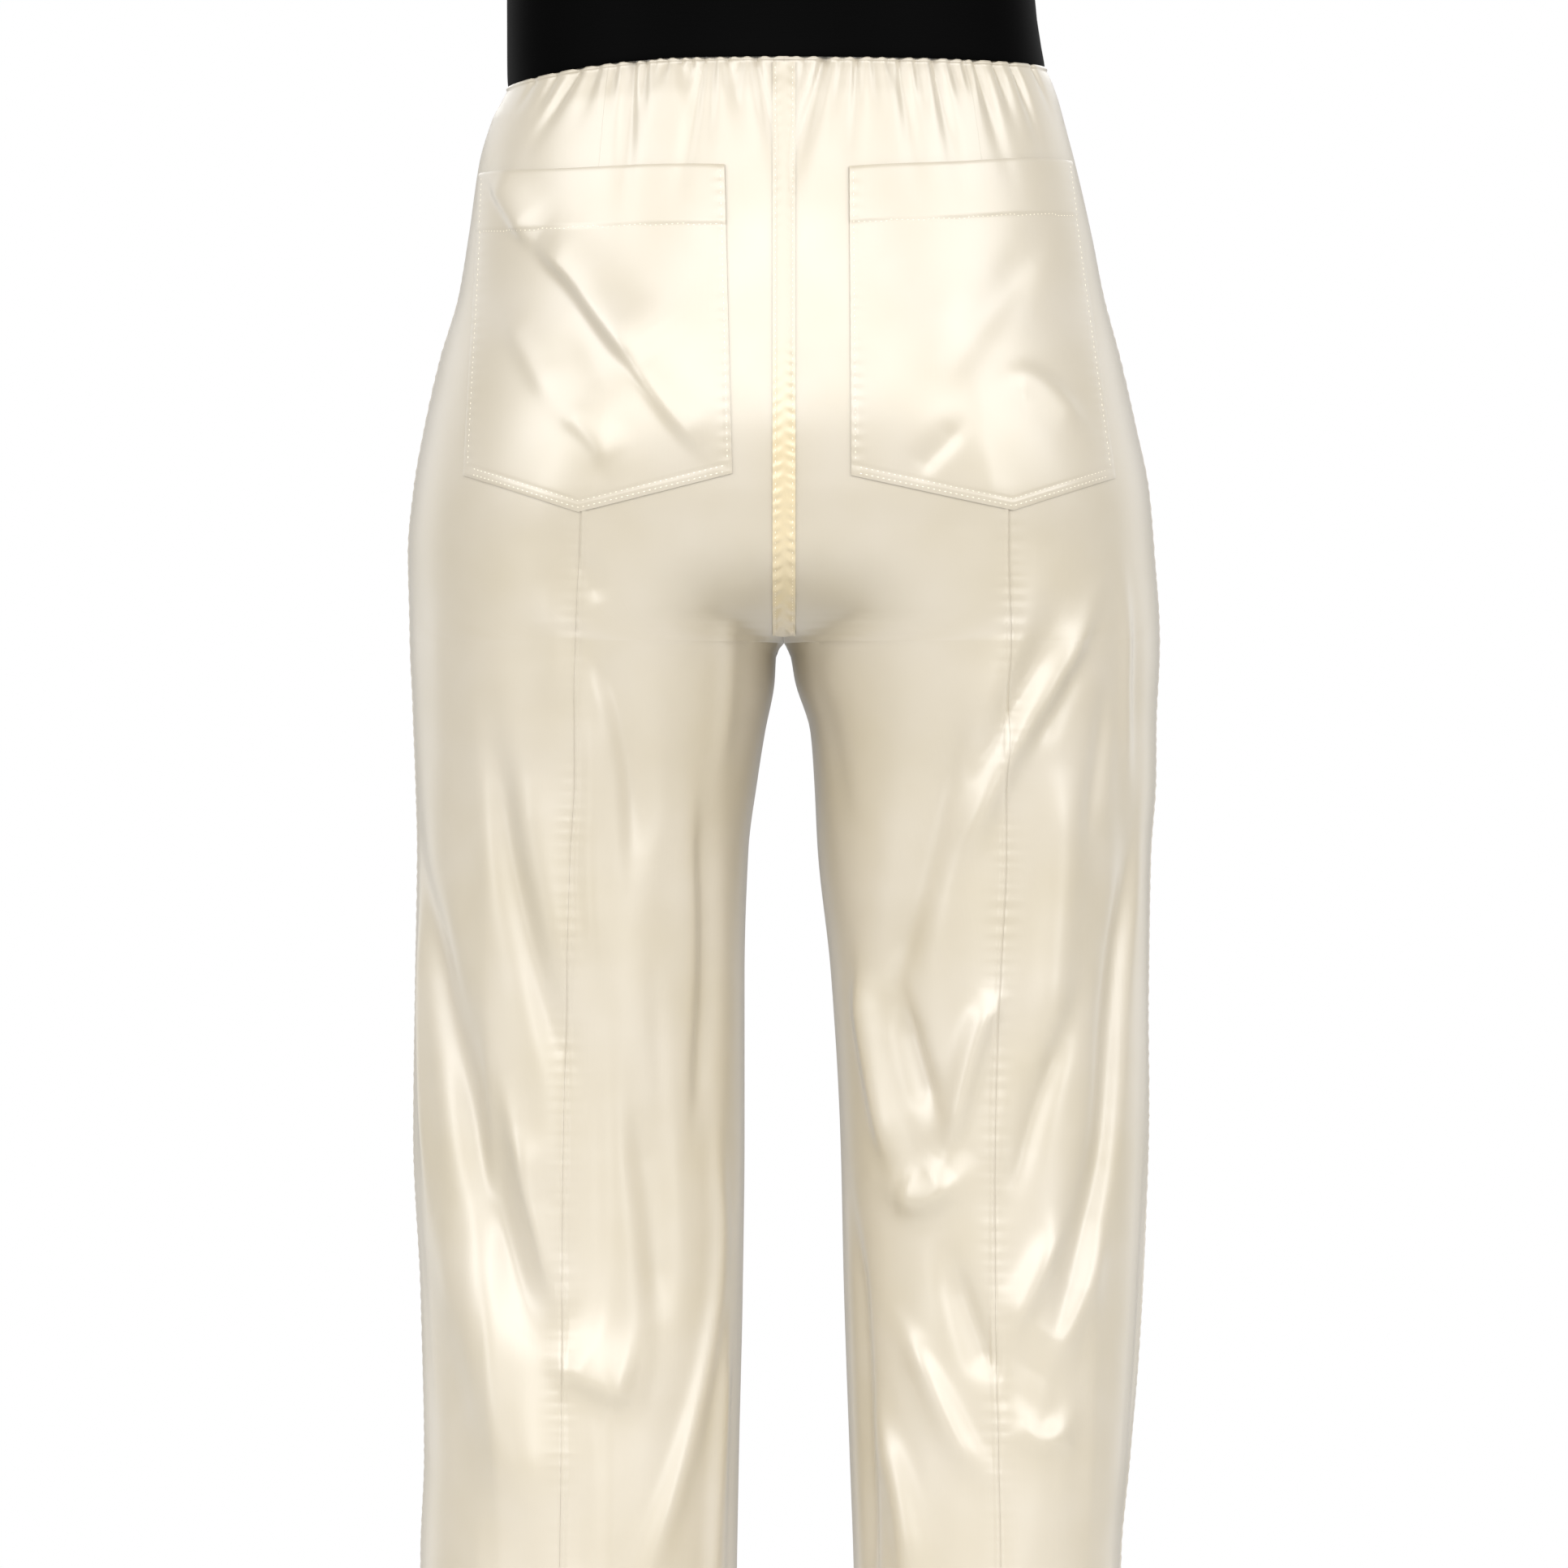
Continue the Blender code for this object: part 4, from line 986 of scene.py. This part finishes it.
def stitches(name, lines):
    """One mesh of stitches laid along polylines, each given as points and outward directions."""
    length = bpy.context.scene.trousers_sizes.stitch
    points, faces = [], []
    for line, out in lines:
        far = np.concatenate([[0], np.cumsum(np.linalg.norm(np.diff(line, axis=0), axis=-1))])
        for start in np.arange(STITCH_STARTS * length, far[-1] - length, length):
            stops = (start, start + STITCH_FILLS * length)
            ends = [np.array([np.interp(at, far, line[:, k]) for k in range(3)]) for at in stops]
            up = unit(np.array([np.interp(start, far, out[:, k]) for k in range(3)]))
            wide = np.cross(unit(ends[1] - ends[0]), up)
            middle = (ends[0] + ends[1]) / 2
            first = len(points)
            points += [end - STITCH_HIGH * STITCH_SINKS * up for end in ends]
            for turn in range(4):
                angle = turn * math.pi / 2
                off = STITCH_WIDE * math.cos(angle) * wide + STITCH_HIGH * math.sin(angle) * up
                points.append(middle + off)
            for turn in range(4):
                a, b = first + 2 + turn, first + 2 + (turn + 1) % 4
                faces += [[first, b, a], [first + 1, a, b]]
    made = new_object(name, np.array(points), faces, np.zeros((len(points), 2)), thread())
    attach(made, "root")


def row_beside(points, out, from_edge, inset, axis):
    """The grid's points and directions nearest to a line at one distance in from an edge."""
    nearest = np.argmin(np.abs(from_edge - inset), axis=axis)
    run = np.arange(len(nearest))
    if axis == 0:
        kept = (nearest[STITCHED_COLUMNS], run[STITCHED_COLUMNS])
    else:
        kept = (run[STITCHED_ROWS], nearest[STITCHED_ROWS])
    return points[kept], out[kept]


# The felled strip, in the order of its making: its outline and grid, how much of their sideways tilt the
# outward directions keep, its rounding, its puckers, which grow down the cleft, and its two furrows
FELL_HALF_WIDTH = 6 * MM
FELL_TOP_Z = -28.5 * MM
FELL_LOW_Z = -328 * MM
FELL_ACROSS = 16
FELL_DOWN = 420
FELL_TILT = 0.35
FELL_ROUNDING = 0.3 * MM
FELL_WORKED_Z = -160 * MM
FELL_WORKED_IN = 120 * MM
FELL_PUCKER = 0.45 * MM
FELL_PUCKER_X = 3.6 * MM
FELL_PUCKER_HALF_WIDTH = 2.3 * MM
FELL_PUCKER_LEAN = 0.5
FELL_PUCKER_LEAST = 0.15
FELL_SEEDS = {-1: 61, 1: 62}
FELL_FURROW = 0.25 * MM
FELL_FURROW_X = 4.6 * MM
FELL_FURROW_HALF_WIDTH = 0.5 * MM
FELL_STITCHES_IN = 2


class MakeFell(bpy.types.Operator):
    """Makes the felled strip over the centre back seam, puckered by its two rows of topstitching"""

    bl_idname = "trousers.make_fell"
    bl_label = "Centre back fell"

    def execute(self, context):
        offsets = np.linspace(-FELL_HALF_WIDTH, FELL_HALF_WIDTH, FELL_ACROSS + 1)
        x, z = np.meshgrid(offsets, np.linspace(FELL_TOP_Z, FELL_LOW_Z, FELL_DOWN))
        base = np.zeros((*x.shape, 3))
        out = np.zeros((*x.shape, 3))
        for side in SIDES:
            whole = half(side)
            here = (x > 0) == (side == "left")
            t = whole.t_of_x(np.abs(x[here]), z[here])
            base[here] = read_grid(whole, t, z[here], whole.points)
            out[here] = read_grid(whole, t, z[here], whole.out)
        out = unit(out * (FELL_TILT, 1, 1))
        worked = ease((FELL_WORKED_Z - z) / FELL_WORKED_IN)
        strength = FELL_PUCKER * (FELL_PUCKER_LEAST + (1 - FELL_PUCKER_LEAST) * worked)
        rise = TRIM_LIFT + TRIM_WALL + FELL_ROUNDING * (1 - (x / FELL_HALF_WIDTH) ** 2)
        for edge, seed in FELL_SEEDS.items():
            beside = bell(x - edge * FELL_PUCKER_X, FELL_PUCKER_HALF_WIDTH)
            rise += strength * puckers(z + FELL_PUCKER_LEAN * edge * x, 0 * x, seed) * beside
        rise -= FELL_FURROW * bell(np.abs(x) - FELL_FURROW_X, FELL_FURROW_HALF_WIDTH)
        points = base + rise[..., None] * out
        uv = np.stack([x, z], axis=-1)
        made = sheet_shell("centre_back_fell_satin", points, out, uv, TRIM_WALL, doubled_satin(), False, 2)
        hand_over(made, "centre_back_fell")
        kept = slice(FELL_STITCHES_IN, -FELL_STITCHES_IN)
        columns = (FELL_STITCHES_IN, FELL_ACROSS - FELL_STITCHES_IN)
        stitches("centre_back_stitches", [(points[kept, column], out[kept, column]) for column in columns])
        return {"FINISHED"}


LEG_HEM_STITCH_Z = -1070 * MM


class MakeHemStitches(bpy.types.Operator):
    """Makes the row of stitches round each leg hem"""

    bl_idname = "trousers.make_hem_stitches"
    bl_label = "Hem stitches"

    def execute(self, context):
        lines = []
        for side in SIDES:
            whole = half(side)
            row = int(np.argmin(np.abs(whole.zs - LEG_HEM_STITCH_Z)))
            lines.append((whole.points[row], whole.out[row]))
        stitches("hem_stitches", lines)
        return {"FINISHED"}


# The elastic is cut shorter than the waist that it holds, and laps over the cloth's top edge
BAND_LAP = 0.5 * MM
BAND_ROUND = 320
BAND_ROWS = 44
# The powers that square its section, how much of the wall is inside the waist's line, and how far it
# stands out: on the whole, and in waves as their height, how many and where they start
BAND_UP_POWER = 0.28
BAND_OUT_POWER = 0.5
BAND_INSIDE = 0.6
BAND_ROLL = 0.7
BAND_WAVES = ((0.6, 3, 0.7), (0.35, 7, 0))
BAND_RADIUS = 120 * MM


class MakeWaistband(bpy.types.Operator):
    """Makes the smooth black elastic waistband"""

    bl_idname = "trousers.make_waistband"
    bl_label = "Waistband"

    def execute(self, context):
        sizes = context.scene.trousers_sizes
        colours = context.scene.trousers_colours
        angle = np.linspace(0, 2 * math.pi, BAND_ROUND, endpoint=False)[:, None]
        profile = np.linspace(0, 2 * math.pi, BAND_ROWS, endpoint=False)[None, :]
        up = np.sign(np.sin(profile)) * np.abs(np.sin(profile)) ** BAND_UP_POWER
        thick = np.sign(np.cos(profile)) * np.abs(np.cos(profile)) ** BAND_OUT_POWER
        z = up * sizes.band_height / 2 + 0 * angle
        # A slight outward roll, and slack that comes and goes round the waist
        roll = BAND_ROLL
        for height, waves, start in BAND_WAVES:
            roll = roll + height * np.sin(waves * angle + start)
        lift = (thick - BAND_INSIDE) * sizes.band_wall / 2 + roll * MM * (1 - up ** 2) * (thick > 0)
        outer = np.where(np.cos(angle) >= 0, column_of("outer_left", z), column_of("outer_right", z))
        depth = np.where(np.sin(angle) >= 0, column_of("back", z), column_of("front", z))
        normal = unit(np.stack([np.cos(angle) / outer, np.sin(angle) / depth], axis=-1))
        x = outer * np.cos(angle) + lift * normal[..., 0]
        y = depth * np.sin(angle) + lift * normal[..., 1]
        low = z - (waist_dip(x) + BAND_LAP) * ease(-2 * z / sizes.band_height)
        points = np.stack([x, y, low], axis=-1)
        index = np.arange(BAND_ROUND * BAND_ROWS).reshape(BAND_ROUND, BAND_ROWS)
        on = np.roll(index, -1, axis=0)
        corners = [index, on, np.roll(on, -1, axis=1), np.roll(index, -1, axis=1)]
        faces = np.stack(corners, axis=-1).reshape(-1, 4)
        uv = np.stack([angle * BAND_RADIUS + 0 * z, z], axis=-1)
        material = shared_material(band_material, "black satin elastic", colours.band)
        made = new_object("waistband_elastic", points, faces.tolist(), uv, material)
        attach(made, "root")
        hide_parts("waistband")
        return {"FINISHED"}


# Where the camera stands, how wide it sees at the garment's back and how wide its sensor is, and the floor
CAMERA_AT = (0.0, 6.0, -0.407)
CAMERA_FIELD = 0.829
CAMERA_FOCUS_Y = 0.05
CAMERA_SENSOR_MM = 36
FLOOR_SIDES = 96
FLOOR_RADIUS = 1.5
FLOOR_BELOW_HEM = 12 * MM
# Wide softboxes that begin just over the horizon, which the seat mirrors, tall narrow ones that begin
# near the floor, which the legs mirror as streaks, and dimmer ones for the front: name, place, aim,
# width, height and radiant power in watts
LIGHTS = (
    ("high_middle", (0.0, 6.6, 3.1), (0, 0, 0.0), 8.0, 3.9, 366),
    ("high_left", (5.9, 3.3, 3.1), (0, 0, 0.0), 5.0, 3.9, 235),
    ("high_right", (-5.9, 3.3, 3.1), (0, 0, 0.0), 5.0, 3.9, 245),
    ("strip_middle", (0.7, 6.5, 0.4), (0, 0, 0.4), 1.0, 2.2, 48),
    ("strip_left", (5.2, 4.2, 0.4), (0, 0, 0.4), 1.0, 2.2, 52),
    ("strip_right", (-4.2, 5.0, 0.4), (0, 0, 0.4), 1.3, 2.2, 62),
    ("front_left", (4.6, -4.6, 0.8), (0, 0, -0.2), 3.0, 5.0, 38),
    ("front_right", (-4.6, -4.6, 0.8), (0, 0, -0.2), 3.0, 5.0, 38),
    ("front_high", (0.0, -6.6, 3.1), (0, 0, 0.0), 7.0, 3.9, 160),
)
FILL = 0.46


class MakeStage(bpy.types.Operator):
    """Sets a plain pale floor, soft studio light round the garment, and the camera behind it"""

    bl_idname = "trousers.make_stage"
    bl_label = "Stage"

    def execute(self, context):
        scene = context.scene
        bpy.ops.object.select_all(action="DESELECT")
        place = (0, 0, HEM_Z - FLOOR_BELOW_HEM)
        bpy.ops.mesh.primitive_circle_add(
            vertices=FLOOR_SIDES, radius=FLOOR_RADIUS, fill_type="NGON", location=place
        )
        floor = context.active_object
        floor.name = "floor"
        floor.data.materials.append(floor_material("studio floor paint", scene.trousers_colours.floor))
        world = bpy.data.worlds.new("studio")
        scene.world = world
        world.use_nodes = True
        tree = world.node_tree
        background = tree.nodes["Background"]
        background.inputs["Strength"].default_value = FILL
        background.inputs["Color"].default_value = (1, 1, 1, 1)
        white = add(tree, "ShaderNodeBackground", {"Strength": 1.0, "Color": (1, 1, 1, 1)})
        seen = add(tree, "ShaderNodeLightPath").outputs["Is Camera Ray"]
        mixed = add(tree, "ShaderNodeMixShader", i0=seen, i1=background.outputs[0], i2=white.outputs[0])
        tree.links.new(mixed.outputs[0], tree.nodes["World Output"].inputs[0])
        for name, place, aim, width, height, power in LIGHTS:
            light = bpy.data.lights.new(name, "AREA")
            light.shape = "RECTANGLE"
            light.size = width
            light.size_y = height
            light.energy = power
            lamp = bpy.data.objects.new(name, light)
            scene.collection.objects.link(lamp)
            lamp.location = place
            way = np.array(aim) - np.array(place)
            lamp.rotation_euler = (
                math.atan2(math.hypot(way[0], way[1]), -way[2]),
                0,
                math.atan2(way[1], way[0]) - math.pi / 2,
            )
        camera = bpy.data.cameras.new("camera")
        camera.sensor_width = CAMERA_SENSOR_MM
        camera.lens = CAMERA_SENSOR_MM * (CAMERA_AT[1] - CAMERA_FOCUS_Y) / CAMERA_FIELD
        stand = bpy.data.objects.new("camera", camera)
        scene.collection.objects.link(stand)
        stand.location = CAMERA_AT
        stand.rotation_euler = (math.pi / 2, 0, math.pi)
        scene.camera = stand
        scene.view_settings.view_transform = "Standard"
        return {"FINISHED"}


class TrousersPanel(bpy.types.Panel):
    """Lists what makes the trousers"""

    bl_idname = "VIEW3D_PT_trousers"
    bl_label = "Satin trousers"
    bl_space_type = "VIEW_3D"
    bl_region_type = "UI"
    bl_category = "Trousers"

    def draw(self, context):
        for group in (context.scene.trousers_sizes, context.scene.trousers_colours):
            for name in group.bl_rna.properties.keys():
                if name not in ("rna_type", "name"):
                    self.layout.prop(group, name)
        for operator in OPERATORS:
            self.layout.operator(operator.bl_idname)


OPERATORS = (MakePanels, MakePockets, MakeFell, MakeHemStitches, MakeWaistband, MakeStage)
CLASSES = (TrousersSizes, TrousersColours, *OPERATORS, TrousersPanel)


def register():
    for made in CLASSES:
        bpy.utils.register_class(made)
    bpy.types.Scene.trousers_sizes = bpy.props.PointerProperty(type=TrousersSizes)
    bpy.types.Scene.trousers_colours = bpy.props.PointerProperty(type=TrousersColours)


def unregister():
    del bpy.types.Scene.trousers_colours
    del bpy.types.Scene.trousers_sizes
    for made in reversed(CLASSES):
        bpy.utils.unregister_class(made)


def main():
    register()
    bpy.ops.trousers.make_panels()
    bpy.ops.trousers.make_pockets()
    bpy.ops.trousers.make_fell()
    bpy.ops.trousers.make_hem_stitches()
    bpy.ops.trousers.make_waistband()
    bpy.ops.trousers.make_stage()


if __name__ == "__main__":
    main()
